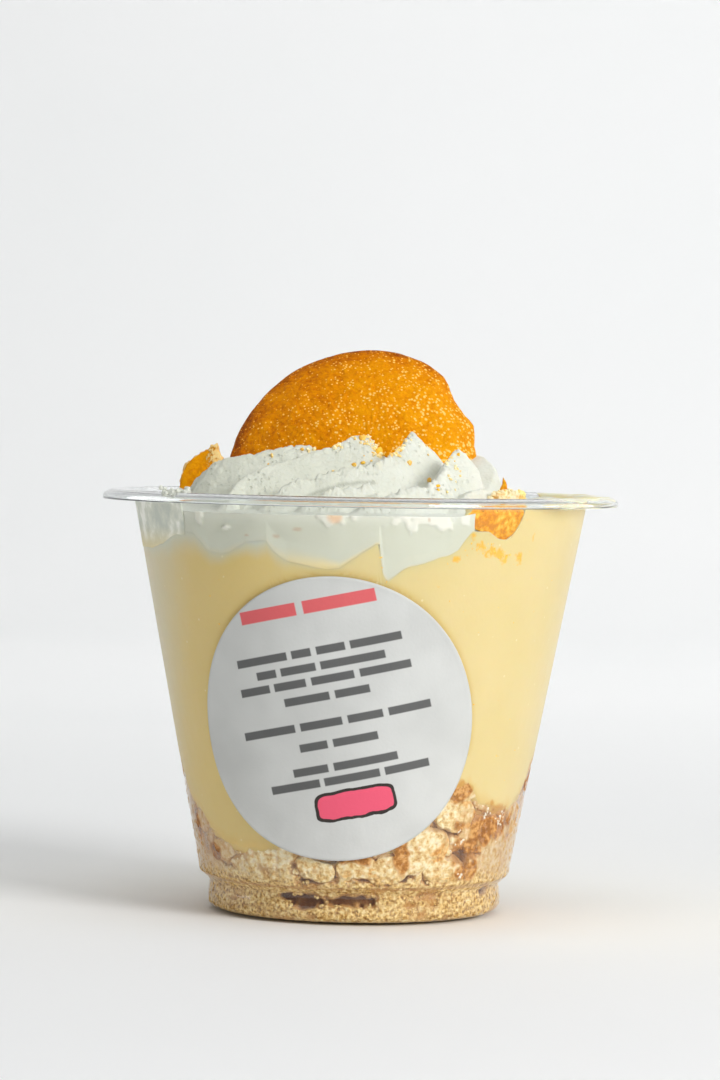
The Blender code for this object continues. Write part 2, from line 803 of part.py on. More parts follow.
def make_fragment(name, outline, on_face, place, lean, facing, group):
    """A piece broken out of a wafer along an outline, then stood in the cup."""
    fragment = wafer_disc(name, FRAGMENT_STEPS, group)
    shift = Matrix.Translation((-on_face[0], -on_face[1], -FRAGMENT_MIDDLE))
    fragment.data.transform(shift)
    block = outline_block(name + "_break", outline, group)
    boolean(fragment, "INTERSECT", block)
    bpy.data.objects.remove(block)
    tidy_mesh(fragment, merge=0.00001)
    fragment.location = place
    fragment.rotation_euler = (math.radians(90 - lean), 0, math.radians(facing))
    finish(fragment, (0.80, 0.48, 0.14), 0.75)
    return fragment


def make_label(group):
    """A round paper label bent round the cone of the wall, its columns along the wall's slope."""
    bm = bmesh.new()
    bmesh.ops.create_grid(bm, x_segments=LABEL_COLUMNS, y_segments=1, size=0.5)
    slope = (WALL_HEAD[0] - WALL_FOOT[0]) / (WALL_HEAD[1] - WALL_FOOT[1])
    stretch = math.hypot(1, slope)
    centre_r = WALL_FOOT[0] + slope * (LABEL_HEIGHT - WALL_FOOT[1]) + WALL
    for vert in bm.verts:
        turn = math.pi * (vert.co.x + 0.5)
        across = -LABEL_R * math.cos(turn)
        up = LABEL_R * math.sin(turn) * (1 if vert.co.y > 0 else -1)
        height = LABEL_HEIGHT + up / stretch
        wall_r = centre_r + slope * (height - LABEL_HEIGHT)
        radius = wall_r + GAP
        angle = math.radians(LABEL_ANGLE) + across / wall_r
        vert.co = Vector((radius * math.cos(angle), radius * math.sin(angle), height))
    bmesh.ops.remove_doubles(bm, verts=bm.verts, dist=0.00001)
    bmesh.ops.recalc_face_normals(bm, faces=bm.faces)
    mesh = bpy.data.meshes.new("label")
    bm.to_mesh(mesh)
    bm.free()
    label = bpy.data.objects.new("label", mesh)
    group.objects.link(label)
    paper = label.modifiers.new("paper", "SOLIDIFY")
    paper.thickness = LABEL_THICKNESS
    paper.offset = 1.0
    paper.use_even_offset = True
    finish(label, (0.82, 0.83, 0.86), 0.6)
    return label


def main():
    clear_scene()
    parts = collection("banana_pudding")
    cutters = collection("cutters")
    make_cup(parts)
    make_label(parts)
    make_crumbs(parts)
    wafer = make_wafer(parts)
    left = make_fragment(
        "wafer_piece_left", LEFT_OUTLINE, LEFT_ON_FACE, LEFT_PLACE, LEFT_LEAN, LEFT_FACING, parts
    )
    right = make_fragment(
        "wafer_piece_right", RIGHT_OUTLINE, RIGHT_ON_FACE, RIGHT_PLACE, RIGHT_LEAN, RIGHT_FACING, parts
    )
    bpy.context.view_layer.update()
    rooms = [grown(piece, GAP, cutters) for piece in (wafer, left, right)]
    chunk_rooms = collection("chunk_rooms")
    for number, spec in enumerate(all_chunks()):
        as_cutter(chunk(f"chunk_room_{number}", spec, number, GAP, chunk_rooms))
    make_pudding(parts, [chunk_rooms] + rooms[1:])
    make_cream(parts, rooms)


main()
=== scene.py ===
# %% [markdown]
# # A cup of banana pudding
#
# A squat cup of clear plastic holds broken vanilla wafers, yellow pudding and a piped swirl of
# whipped cream, with a whole wafer stood in it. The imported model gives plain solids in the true
# places. This lesson makes the pieces that are seen: each starts from the sizes that the
# solid has, gets the relief that the solid leaves out, and then its finish.
#
# Lengths are in metres, and in millimetres where a table or a comment says so. The cup stands on
# z = 0 with its axis on Z, and its label faces -Y. An angle is in degrees about the axis, from +X
# towards +Y, so the front is at -90.

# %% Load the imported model
import functools
import itertools
import math

import bmesh
import bpy
import numpy as np
from mathutils import Matrix, Vector


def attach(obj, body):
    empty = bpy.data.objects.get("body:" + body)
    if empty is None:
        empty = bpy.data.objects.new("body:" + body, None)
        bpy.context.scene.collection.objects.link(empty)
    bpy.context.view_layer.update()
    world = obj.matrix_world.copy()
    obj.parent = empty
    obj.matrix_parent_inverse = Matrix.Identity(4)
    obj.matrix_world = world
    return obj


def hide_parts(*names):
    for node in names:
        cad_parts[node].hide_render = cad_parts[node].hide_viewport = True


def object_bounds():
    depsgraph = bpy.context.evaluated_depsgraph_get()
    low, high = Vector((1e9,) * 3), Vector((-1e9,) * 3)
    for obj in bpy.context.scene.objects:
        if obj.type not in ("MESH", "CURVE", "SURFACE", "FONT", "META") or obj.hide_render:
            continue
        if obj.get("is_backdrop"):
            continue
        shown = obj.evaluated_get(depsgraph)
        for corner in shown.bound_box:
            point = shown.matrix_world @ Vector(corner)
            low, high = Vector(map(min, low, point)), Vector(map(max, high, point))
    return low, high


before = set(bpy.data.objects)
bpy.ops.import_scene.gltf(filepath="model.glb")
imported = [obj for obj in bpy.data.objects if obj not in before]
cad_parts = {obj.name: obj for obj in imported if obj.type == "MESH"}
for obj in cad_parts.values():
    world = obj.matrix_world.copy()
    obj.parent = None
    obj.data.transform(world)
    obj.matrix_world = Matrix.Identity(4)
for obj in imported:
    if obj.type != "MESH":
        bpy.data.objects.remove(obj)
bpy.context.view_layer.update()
print("solids:", ", ".join(sorted(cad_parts)))

# %% [markdown]
# ## The eye
#
# The photo was taken from 74 cm in front of the cup, a little above its rim, with a long lens. The
# camera looks slightly down and is turned by one degree. Small crumbs are easiest to place by
# where they are seen, so the line of sight through any pixel of the photo is worked out here. A
# crumb then goes where its line of sight first meets the cream.

# %% The line of sight
EYE = Vector((0.0, -0.740, 0.0898))
PITCH, ROLL = 0.031, 0.018  # radians: down, and turned clockwise
FOCAL_PIXELS, PHOTO_WIDTH, PHOTO_HEIGHT = 4097, 720, 1080
forward = Vector((0, math.cos(PITCH), -math.sin(PITCH)))
level_up = Vector((0, math.sin(PITCH), math.cos(PITCH)))
right_axis = Vector((1, 0, 0)) * math.cos(ROLL) + level_up * math.sin(ROLL)
up_axis = level_up * math.cos(ROLL) - Vector((1, 0, 0)) * math.sin(ROLL)


def sight(pixel_x, pixel_y):
    """The direction from the eye through a pixel of the photo."""
    across = right_axis * (pixel_x - PHOTO_WIDTH / 2)
    down = up_axis * (pixel_y - PHOTO_HEIGHT / 2)
    return (forward * FOCAL_PIXELS + across - down).normalized()


print("the middle of the photo looks along", [round(v, 3) for v in sight(360, 540)])

# %% [markdown]
# ## Sizes
#
# The food fits the inside of the cup, so the cup's profile comes first. It runs from the middle
# of the floor to the lip, as (radius, height). The real cup is drawn from one hot sheet, so every
# corner of the profile is a small curve. Each corner is cut back on both sides and bridged by
# points of a quadratic curve, which leaves the long straight wall alone.

# %% The cup's profile
WALL = 0.0005  # thickness of the plastic
FOOD_SIDE = (
    (0.0, 0.0020),
    (0.0205, 0.0020),
    (0.0220, WALL),
    (0.0253, WALL),
    (0.0263, 0.0014),
    (0.02635, 0.0032),
    (0.0261, 0.0055),
    (0.0279, 0.0070),
    (0.02822, 0.0089),
    (0.04049, 0.0731),
)
LIP = ((0.0413, 0.0745), (0.0426, 0.0750), (0.0449, 0.0750), (0.0460, 0.0745), (0.0460, 0.07375))
FLOOR_POINTS = 4
WALL_FOOT, WALL_HEAD = FOOD_SIDE[-2:]
SLOPE = (WALL_HEAD[0] - WALL_FOOT[0]) / (WALL_HEAD[1] - WALL_FOOT[1])


def rounded(profile, cut, count=5):
    """The same profile with every corner bridged by a small curve."""
    points = np.array(profile)
    found = [points[0]]
    for before, corner, after in zip(points[:-2], points[1:-1], points[2:]):
        back, ahead = before - corner, after - corner
        start = corner + back * min(0.5, cut / np.hypot(*back))
        end = corner + ahead * min(0.5, cut / np.hypot(*ahead))
        for t in np.linspace(0, 1, count):
            found.append((1 - t) ** 2 * start + 2 * t * (1 - t) * corner + t * t * end)
    found.append(points[-1])
    return np.array(found)


def wall_radius(height):
    """The inside radius of the cup at a height, above the floor."""
    side = np.array(FOOD_SIDE[FLOOR_POINTS - 1:])
    return np.interp(height, side[:, 1], side[:, 0])


def on_circle(radius, angle, height):
    """Points from radius, angle in radians and height."""
    return np.stack(np.broadcast_arrays(radius * np.cos(angle), radius * np.sin(angle), height), -1)


def polar(points):
    """The radius of points, and their angle in radians."""
    return np.hypot(points[..., 0], points[..., 1]), np.arctan2(points[..., 1], points[..., 0])


def from_mm(*rows):
    """Rows of degrees and millimetres, as degrees and metres."""
    return tuple((degrees, *(value / 1000 for value in values)) for degrees, *values in rows)


def round_table(table, angle):
    """Reads (degrees, value) pairs at any angle in radians, all the way round."""
    degrees, values = zip(*table)
    return np.interp(np.degrees(angle), degrees, values, period=360)


def all_round(count):
    """Angles in even steps, all the way round."""
    return np.radians(np.arange(count) * 360 / count)


print("inside radius at the brim:", round(float(wall_radius(0.0731)) * 1000, 2), "mm")

# %% [markdown]
# ## Noise
#
# Cream, crumbs and baked crusts are uneven at several sizes at once. Two kinds of noise give
# that. The first is smooth: random numbers on a lattice, blended between its corners. The second
# is made of cells: every place belongs to its nearest random point, which is how grains
# that are pressed together look. Both come from one hash, so each run gives the same shapes.


# %% Smooth noise and cells
def hashed(cell, seed):
    """A repeatable number between 0 and 1 for every lattice cell: large odd factors mix its bits."""
    mixed = cell[..., 0] * 73856093 ^ cell[..., 1] * 19349663 ^ cell[..., 2] * 83492791
    mixed = (mixed + seed * 2654435) & 0xFFFFFFFF
    for _ in range(2):
        mixed = ((mixed >> 16) ^ mixed) * 0x45D9F3B & 0xFFFFFFFF
    return ((mixed >> 16) ^ mixed) / 0xFFFFFFFF


def noise(points, size, seed=0, octaves=1):
    """Smooth unevenness between about -1 and 1, with lumps of the given size."""
    total, strength = 0.0, 1.0
    for octave in range(octaves):
        place = np.asarray(points) / size * 2**octave + 11.3 * octave
        cell = np.floor(place).astype(np.int64)
        part = place - cell
        part = part * part * part * (part * (part * 6 - 15) + 10)
        for corner in itertools.product((0, 1), repeat=3):
            weight = np.prod(np.where(corner, part, 1 - part), axis=-1)
            total = total + strength * weight * (hashed(cell + corner, seed + octave) * 2 - 1)
        strength /= 2
    return total


def cells(points, size, seed):
    """How far every place is from the nearest of many scattered points, in cell sizes."""
    place = np.asarray(points) / size
    home = np.floor(place).astype(np.int64)
    nearest = np.full(place.shape[:-1], 9.0)
    for offset in itertools.product((-1, 0, 1), repeat=3):
        cell = home + offset
        point = cell + np.stack([hashed(cell, seed + i) for i in (1, 2, 3)], -1)
        nearest = np.minimum(nearest, np.linalg.norm(place - point, axis=-1))
    return nearest


def fading(distance, reach):
    """1 where the distance is 0, falling to 0 where it is the reach."""
    return np.clip(1 - distance / reach, 0, 1)


probe = np.random.default_rng(1).uniform(0, 1, (4000, 3))
print("noise runs from", round(noise(probe, 0.1).min(), 2), "to", round(noise(probe, 0.1).max(), 2))

# %% [markdown]
# ## Meshes from arrays
#
# Most pieces are turned round the cup's axis and then pushed in and out. Such a piece is a grid:
# rows from the top pole out and down to the bottom pole, and columns round the axis. Numbers
# that the finish needs, such as how near a point is to the cream, are kept on the mesh as
# attributes, where the shader can read them.


# %% Grids and joined copies
def new_piece(name, points, faces, smooth=True, **attributes):
    """A mesh object from points and faces, with a number per point for each attribute."""
    mesh = bpy.data.meshes.new(name)
    mesh.from_pydata(points.tolist(), [], [list(map(int, face)) for face in faces])
    for key, values in attributes.items():
        mesh.attributes.new(key, "FLOAT", "POINT").data.foreach_set("value", np.ravel(values))
    mesh.polygons.foreach_set("use_smooth", np.full(len(mesh.polygons), smooth))
    mesh.update()
    piece = bpy.data.objects.new(name, mesh)
    bpy.context.scene.collection.objects.link(piece)
    print(f"{name}: {sum(len(face) - 2 for face in faces)} triangles")
    return piece


def grid_faces(rows, columns, closed=True):
    """Quads of a grid of points, facing out where rows run down and columns anticlockwise."""
    index = np.arange(rows * columns).reshape(rows, columns)
    beside = np.roll(index, -1, axis=1)
    if not closed:
        index, beside = index[:, :-1], beside[:, :-1]
    return np.stack([index[:-1], index[1:], beside[1:], beside[:-1]], -1).reshape(-1, 4)


def fan(pole, first, columns):
    """Triangles from a pole to a ring, which starts at the point with the number first."""
    ring = first + np.arange(columns)
    return [(pole, a, b) for a, b in zip(ring, np.roll(ring, -1))]


def turned_piece(name, rows, **attributes):
    """A closed grid whose first and last rows are drawn together into poles."""
    count, columns = rows.shape[:2]
    body = rows[1:-1].reshape(-1, 3)
    points = np.vstack([body, rows[0].mean(0), rows[-1].mean(0)])
    faces = grid_faces(count - 2, columns).tolist() + fan(len(body), 0, columns)
    faces += [(pole, b, a) for pole, a, b in fan(len(body) + 1, (count - 3) * columns, columns)]
    kept = {
        key: np.concatenate([values[1:-1].ravel(), [values[0].mean(), values[-1].mean()]])
        for key, values in attributes.items()
    }
    return new_piece(name, points, faces, **kept)


def ball(rounds):
    """Points and faces of a ball of radius 1."""
    bm = bmesh.new()
    bmesh.ops.create_icosphere(bm, subdivisions=rounds, radius=1.0)
    points = np.array([vert.co[:] for vert in bm.verts])
    faces = np.array([[vert.index for vert in face.verts] for face in bm.faces])
    bm.free()
    return points, faces


def turn_matrices(rng, count):
    """Random rotations, one for each copy."""
    quats = rng.normal(size=(count, 4))
    w, x, y, z = (quats / np.linalg.norm(quats, axis=1)[:, None]).T
    rows = (
        (1 - 2 * (y * y + z * z), 2 * (x * y - z * w), 2 * (x * z + y * w)),
        (2 * (x * y + z * w), 1 - 2 * (x * x + z * z), 2 * (y * z - x * w)),
        (2 * (x * z - y * w), 2 * (y * z + x * w), 1 - 2 * (x * x + y * y)),
    )
    return np.array(rows).transpose(2, 0, 1)


def scattered(name, places, sizes, rng, rounds=1, rough=0.25, flat=0.75, lumpy=0.0, **attributes):
    """Many rough grains as one mesh: a ball copied to every place, turned and dented.

    rough moves every point of the ball on its own, and lumpy bends the whole ball.
    """
    points, faces = ball(rounds)
    count = len(places)
    turns = turn_matrices(rng, count)
    stretch = rng.uniform(flat, 1.0, (count, 1, 3)) * sizes[:, None, None] / 2
    dents = rough * rng.uniform(-1, 1, (count, len(points), 1))
    if lumpy:
        own = points[None] + rng.uniform(0, 90, (count, 1, 3))
        dents = dents + lumpy * noise(own, 0.9, 5, 2)[..., None]
    shapes = points[None] * (1 + dents) * stretch
    shapes = np.einsum("nij,nkj->nki", turns, shapes) + places[:, None]
    every = (faces[None] + np.arange(count)[:, None, None] * len(points)).reshape(-1, 3)
    spread = {key: np.repeat(values, len(points)) for key, values in attributes.items()}
    return new_piece(name, shapes.reshape(-1, 3), every, smooth=False, **spread)


print("a ball of one round has", len(ball(1)[1]), "faces")

# %% [markdown]
# ## Shaders as sums
#
# A procedural finish is a chain of small sums on numbers that vary over the surface. Written
# as nodes they are hard to read, so a small class lets them be written as plain Python: adding
# or multiplying two such numbers adds a Math node. Colours never go through Math nodes, which
# would turn them grey, but through Mix nodes.


# %% A number that varies over a surface
class Number:
    """An output of a node. Sums with it are written as with plain numbers, and add nodes."""

    def __init__(self, look, socket):
        self.look = look
        self.socket = socket

    def __add__(self, other):
        return self.look.math("ADD", self, other)

    def __sub__(self, other):
        return self.look.math("SUBTRACT", self, other)

    def __rsub__(self, other):
        return self.look.math("SUBTRACT", other, self)

    def __mul__(self, other):
        return self.look.math("MULTIPLY", self, other)

    def __truediv__(self, other):
        return self.look.math("DIVIDE", self, other)

    def __pow__(self, other):
        return self.look.math("POWER", self, other)

    def __abs__(self):
        return self.look.math("ABSOLUTE", self)

    __radd__ = __add__
    __rmul__ = __mul__

    def highest(self, other):
        return self.look.math("MAXIMUM", self, other)

    def between(self, start, end):
        """0 below start, 1 above end, and a smooth rise between them."""
        settings = {"interpolation_type": "SMOOTHSTEP"}
        sockets = {"Value": self, "From Min": start, "From Max": end}
        return self.look.node("MapRange", settings, sockets)["Result"]


# %% A material under construction
def srgb(red, green, blue):
    """A colour as a screen shows it, from 0 to 255, as the shader wants it."""
    parts = np.array([red, green, blue]) / 255
    linear = np.where(parts <= 0.04045, parts / 12.92, ((parts + 0.055) / 1.055) ** 2.4)
    return (*(float(part) for part in linear), 1.0)


class Outputs:
    """The outputs of a node, by name, as numbers to go on with."""

    def __init__(self, look, node):
        self.look = look
        self.node = node

    def __getitem__(self, name):
        return Number(self.look, self.node.outputs[name])


class Look:
    """A Principled material, and the few kinds of node that its pattern needs."""

    def __init__(self, name, **constants):
        self.material = bpy.data.materials.new(name)
        self.material.use_nodes = True
        self.tree = self.material.node_tree
        self.shader = self.tree.nodes["Principled BSDF"]
        self.colour = None
        self.set(**constants)

    def feed(self, socket, value):
        """Links a number that varies to a socket, or sets the socket to a plain value."""
        if isinstance(value, Number):
            self.tree.links.new(value.socket, socket)
        else:
            socket.default_value = value

    def set(self, **values):
        """Feeds sockets of the shader, whose names are written with _ for each space."""
        for key, value in values.items():
            self.feed(self.shader.inputs[key.replace("_", " ")], value)

    def node(self, kind, settings=None, sockets=None):
        """A new node: first its settings, among them a ramp's stops, and then its sockets."""
        node = self.tree.nodes.new("ShaderNode" + kind)
        for key, value in (settings or {}).items():
            if key == "stops":
                ramp = node.color_ramp
                while len(ramp.elements) < len(value):
                    ramp.elements.new(0.5)
                for element, (position, *colour) in zip(ramp.elements, value):
                    element.position = position
                    element.color = srgb(*colour)
            else:
                setattr(node, key, value)
        for key, value in (sockets or {}).items():
            self.feed(node.inputs[key], value)
        return Outputs(self, node)

    def math(self, operation, first, second=0.0):
        return self.node("Math", {"operation": operation}, {0: first, 1: second})["Value"]

    def mix(self, share, first, second):
        """The first colour where share is 0, and the second where it is 1."""
        settings = {"data_type": "RGBA", "clamp_factor": True}
        return self.node("Mix", settings, {0: share, 6: first, 7: second})[2]

    def ramp(self, value, *stops):
        """A colour for every value. A stop is a value with its red, green and blue."""
        return self.node("ValToRGB", {"stops": stops}, {"Fac": value})["Color"]

    def paint(self, share, colour):
        """Lays a colour over the colour so far, as far as share says."""
        self.colour = self.mix(share, self.colour, colour)

    def place(self):
        """Where the surface is, in metres."""
        return self.node("TexCoord")["Object"]

    def axis(self, name):
        """Where the surface is along X, Y or Z."""
        return self.node("SeparateXYZ", None, {0: self.place()})[name]

    def kept(self, name):
        """A number kept on the mesh."""
        return self.node("Attribute", {"attribute_name": name})["Fac"]

    def noise(self, size, detail=2.0, rough=0.5, where=None):
        """Smooth noise between 0 and 1 with lumps of about the size."""
        sockets = {"Vector": where or self.place(), "Scale": 1 / size, "Detail": detail, "Roughness": rough}
        return self.node("TexNoise", None, sockets)["Fac"]

    def grains(self, size):
        """Cells of the size: how far every place is from the middle of its own."""
        return self.node("TexVoronoi", None, {"Vector": self.place(), "Scale": 1 / size})["Distance"]

    def finish(self, roughness, relief, depth):
        """The colour so far, a roughness, and a relief whose step from 0 to 1 is the depth."""
        bump = self.node("Bump", None, {"Height": relief, "Distance": depth})
        self.set(Base_Color=self.colour, Roughness=roughness, Normal=bump["Normal"])


def plain_look(name, size, shine, rough, rougher, depth, *stops):
    """A finish of one noise, which picks the colour, the roughness and the relief."""
    look = Look(name, Specular_IOR_Level=shine)
    shade = look.noise(size, detail=3)
    look.colour = look.ramp(shade, *stops)
    look.finish(rough + rougher * shade, shade, depth)
    return look


def place_on_cup(piece, look, node):
    """Gives a piece its finish and says which solid of the model it stands for."""
    piece.data.materials.clear()
    piece.data.materials.append(look.material)
    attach(piece, "root")
    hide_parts(node)
    print(f"{piece.name} wears {look.material.name} and stands for {node}")


# %% [markdown]
# ## The cup
#
# The real cup is one sheet of clear plastic, drawn down from the rim, so it is thin all over.
# A turned profile with a Solidify modifier gives exactly that. Clear plastic is a
# Principled shader with full transmission. It shows by its reflections and by how it bends
# the light at its edges, so its corners have to be round and finely divided. The lamps are let
# through to the food: a clear cup hardly shades what is in it.

# %% Turn the cup
COLUMNS = 256
BEND = 0.0006  # how far a corner is cut back
UNEVEN, UNEVEN_SIZE, UNEVEN_DRAWN = 0.00006, 0.012, 0.35  # the wall's waves, drawn out upwards
sheet = rounded(FOOD_SIDE + LIP, BEND)
radius, height = sheet[1:, :1], sheet[1:, 1:]
body = on_circle(radius, all_round(COLUMNS), height)
waves = UNEVEN * noise(body * (1, 1, UNEVEN_DRAWN), UNEVEN_SIZE, seed=4)
body[..., :2] *= 1 + (waves / radius)[..., None]
points = np.vstack([body.reshape(-1, 3), [[0, 0, sheet[0, 1]]]])
faces = grid_faces(len(body), COLUMNS)[:, ::-1].tolist() + fan(len(points) - 1, 0, COLUMNS)
cup = new_piece("clear_cup", points, faces)
thick = cup.modifiers.new("plastic", "SOLIDIFY")
thick.thickness = WALL
thick.offset = -1.0
thick.use_even_offset = True
cup.visible_shadow = False
cup.visible_diffuse = False

# %% Clear plastic
look = Look("clear_plastic", Base_Color=srgb(250, 252, 252), IOR=1.5, Transmission_Weight=1.0)
drawn = look.node("VectorMath", {"operation": "MULTIPLY"}, {0: look.place(), 1: (1, 1, 0.4)})["Vector"]
look.set(Roughness=0.02 + 0.04 * look.noise(0.004, detail=4, where=drawn).between(0.45, 0.8))
place_on_cup(cup, look, "cup")

# %% [markdown]
# ## The layers' lines on the wall
#
# Where two layers meet behind the plastic, they draw a line round the cup. The tables are those
# of the solids, with a finer wander added. The pudding and the crumbs both read the crumb line,
# and the pudding and the cream both read the cream line, so that no gap opens between them.

# %% Lines round the cup
CRUMB_LINE = from_mm(
    (-180, 30), (-172, 27), (-164, 20.7), (-155, 17.8), (-146, 14.7), (-132, 12.5), (-116, 13.3),
    (-95, 15.5), (-78, 15), (-65, 17.9), (-59, 23.3), (-51, 25.3), (-45, 20.8), (-27, 19.6),
    (-18, 22), (-9, 27), (2, 30), (20, 24), (40, 19), (62, 16), (85, 19), (105, 23), (125, 17),
    (145, 20), (165, 27),
)
PUDDING_LINE = from_mm(
    (-180, 65.6), (-160, 65.7), (-152, 66.6), (-148, 67.9), (-144, 68.6), (-137, 68.4), (-134, 66.8),
    (-132, 65.5), (-128, 65), (-125, 65.5), (-120, 67.2), (-114, 67.6), (-112, 65.7), (-109, 64.1),
    (-103, 63.5), (-98, 62.9), (-95, 63.1), (-92, 64.6), (-88.5, 66.3), (-86, 67.6), (-85.2, 67.6),
    (-84.6, 65), (-83.8, 62), (-82.6, 61.3), (-79, 63), (-77, 63.7), (-72, 64.5), (-67, 65.7),
    (-64.5, 66.5), (-63, 68), (-61, 69.7), (-56, 69.7), (-53, 68.6), (-50, 68.3), (-47.6, 69.4),
    (-46, 71.4), (-44.9, 73.8), (-36, 74.3), (-20, 74.6), (20, 74.6), (38, 73.8), (48, 71),
    (56, 67.8), (70, 65.5), (90, 64), (110, 66.2), (130, 64.8), (150, 66.2), (165, 66.4),
)
# Over what height the cream fades into the pudding on the wall, and how far below the line, in fades
FADE = from_mm(
    (-180, 2), (-160, 4), (-150, 5.6), (-138, 5.6), (-131, 4.4), (-124, 3.6), (-117, 3.8), (-108, 5),
    (-99, 3.4), (-93, 1.4), (-88, 1), (-85.6, 0.9), (-84.4, 2.2), (-82, 1), (-80, 0.4), (-40, 0.4),
    (0, 1.5), (120, 1.5),
)
FADE_DOWN = (
    (-180, 0.0), (-160, 0.2), (-150, 0.35), (-138, 0.35), (-131, 0.2), (-124, 0.1), (-117, 0.45), (-111, 0.1),
    (-108, -0.1), (-99, -0.3), (-92, -0.2), (-88, 0.0),
)
CRUMB_MIDDLE = 0.0180
PUDDING_MIDDLE = 0.0520
PUDDING_BOWL = 2.2
UNDER_CREAM = 0.0686
INTO_WALL = 0.00012  # how far the food reaches into the plastic, so that no air shows
NOISE_R, WALL_NOISE_R = 0.030, 0.033  # radii of the circles on which noise is read, inside and on the wall
BOTTOM = WALL + 0.0003


def wander(angle, size, seed):
    """A wandering number round the cup, -1 to 1, whose steps measure size along the wall."""
    return noise(on_circle(WALL_NOISE_R, angle, 0.0), size, seed, octaves=3) / 1.4


def crumb_line(angle):
    """The height of the crumbs on the wall."""
    return round_table(CRUMB_LINE, angle) + 0.0009 * wander(angle, 0.0045, 11)


def pudding_line(angle):
    """The height on the wall where the cream starts."""
    return round_table(PUDDING_LINE, angle) + 0.00022 * wander(angle, 0.0022, 12)


def cream_share(points):
    """How much cream shows on the wall: 0 in the pudding, 1 in the cream, and a fade at their line."""
    _, angle = polar(points)
    above = (points[..., 2] - pudding_line(angle)) / round_table(FADE, angle)
    return np.clip(above + 0.5 + round_table(FADE_DOWN, angle), 0, 1)


def crumb_top(share, angle):
    """The height of the crumbs inside the cup. share is 0 on the axis and 1 at the wall."""
    lumpy = 0.0012 * noise(on_circle(share * NOISE_R, angle, 0.0), 0.007, 13, octaves=2)
    inside = CRUMB_MIDDLE + lumpy
    return inside + (crumb_line(angle) - inside) * share**3


def under_cream(share, angle):
    """The height of the pudding under the cream."""
    edge = np.minimum(pudding_line(angle), UNDER_CREAM)
    return PUDDING_MIDDLE + (edge - PUDDING_MIDDLE) * share**PUDDING_BOWL


front = np.radians(np.arange(-150, -29, 15))
print("cream line at the front:", np.round(pudding_line(front) * 1000, 1), "mm")

# %% [markdown]
# ## Marks on the wall
#
# Some places on the wall stand out: a large piece that presses on the plastic, a dark hollow, a
# stretch where the pudding soaked in. Each is written as one oval, with its middle, its
# width along the wall and its height. The distance to it, 1 on its edge, then shapes the
# relief, picks the colours and keeps loose grains away.


# %% Ovals on the wall
def from_oval(points, oval):
    """How far points are from an oval on the wall: 0 in its middle and 1 on its edge."""
    degrees, height, length, tall = oval[:4]
    _, angle = polar(points)
    across = np.radians((np.degrees(angle) - degrees + 180) % 360 - 180) * wall_radius(height)
    return np.hypot(across / (length / 2), (points[..., 2] - height) / (tall / 2))


def inside_ovals(points, ovals, soft, ragged, seed=15):
    """1 inside any of the ovals and 0 outside, over a soft ragged edge."""
    uneven = ragged * noise(points, 0.0018, seed, octaves=2)
    found = np.zeros(points.shape[:-1])
    for oval in ovals:
        share = np.clip((1 + soft / 2 - from_oval(points, oval) - uneven) / soft, 0, 1)
        found = np.maximum(found, share * share * (3 - 2 * share))
    return found


# Large broken pieces: angle, height, length, width, thickness
CHUNKS = from_mm(
    (-66, 14.2, 9.8, 8, 6.2), (-77, 10.5, 8.4, 6.6, 5.6), (-55, 20.2, 9.6, 7.8, 6),
    (-40, 16.5, 9, 7.8, 5.6), (-51, 24.5, 8, 5.6, 5), (-56, 10, 8.2, 5.6, 5), (-89, 10.8, 8, 6, 5),
    (-104, 10.4, 7.4, 5.6, 5), (-143, 13, 7, 6, 4.6), (-156, 17.2, 7, 5.2, 4.6),
    (-20, 18.6, 7.8, 6.4, 5), (-8, 25, 6.6, 5, 4.4), (-174, 26.2, 6.6, 5, 4.4),
)
# Hollows, painted dark as shade, and places that the pudding soaked: angle, height, length, width
HOLLOWS = from_mm(
    (-98.6, 9.4, 4.2, 3), (-109.2, 4, 5.2, 2.2), (-91, 4.4, 6.6, 2.2), (-117.3, 4.7, 2.4, 1.4),
    (-94, 12.7, 8, 1.8), (-72, 10.2, 2, 4), (-49.5, 11.8, 3, 2.6), (-29, 5.2, 3, 1.4),
    (24, 9, 5, 2.8), (58, 4.6, 5.6, 2.2), (97, 12, 4.6, 3.4), (138, 7, 5, 2.4),
)
SOAKED = from_mm(
    (-37, 17.4, 16, 7.8), (-47, 13.2, 8, 5), (-53.8, 24.4, 4, 4.4), (-44, 9.6, 6, 3.6),
    (-51.5, 72.2, 7.6, 6.2), (-74, 12.2, 3, 6.2), (-93, 12.6, 13, 2.4), (-161, 16.5, 3, 8),
    (-149, 11.8, 3.6, 3), (-8, 24, 6, 9), (70, 13, 12, 5), (118, 15, 9, 6), (176, 24, 6, 11),
)
print(len(CHUNKS), "large pieces,", len(HOLLOWS), "hollows and", len(SOAKED), "soaked places")

# %% [markdown]
# ## The broken wafers
#
# The foot of the cup holds wafers that were crushed by hand: a few pieces the size of a
# hazelnut, many the size of a pea, and a sand of fine crumbs in the gaps. One solid core
# carries the sand as relief. What touches the plastic is pale, and what stands back from it is
# painted browner as shade, so the relief is also kept as a number for the finish. The core makes
# room for the larger pieces, which are rounded porous lumps pressed flat by the wall,
# and loose grains are strewn over it.

# %% The crumb core
CRUMB_COLUMNS, SIDE_ROWS, TOP_ROWS = 640, 100, 16
GRAIN, SAND, LUMP = 0.0011, 0.00085, 0.0042  # how large the unevenness is, from fine to broad
# The fine line under the shoulder is a recess, which the finish paints dark as shade.
SHOULDER_Z, SHOULDER_HALF, SHOULDER_GAP = 0.0066, 0.0005, 0.0006  # the fine dark line under the shoulder
PRESSED = 0.0011  # how deep the core makes room for a large piece
HOLLOW = 0.0013  # how deep a hollow is
BEHIND_PUDDING = 0.0022  # how far the core goes up behind the pudding
RAISED, FOOT_RING = 0.0015, 0.84  # the raised floor: how high, and from which share of the foot's radius


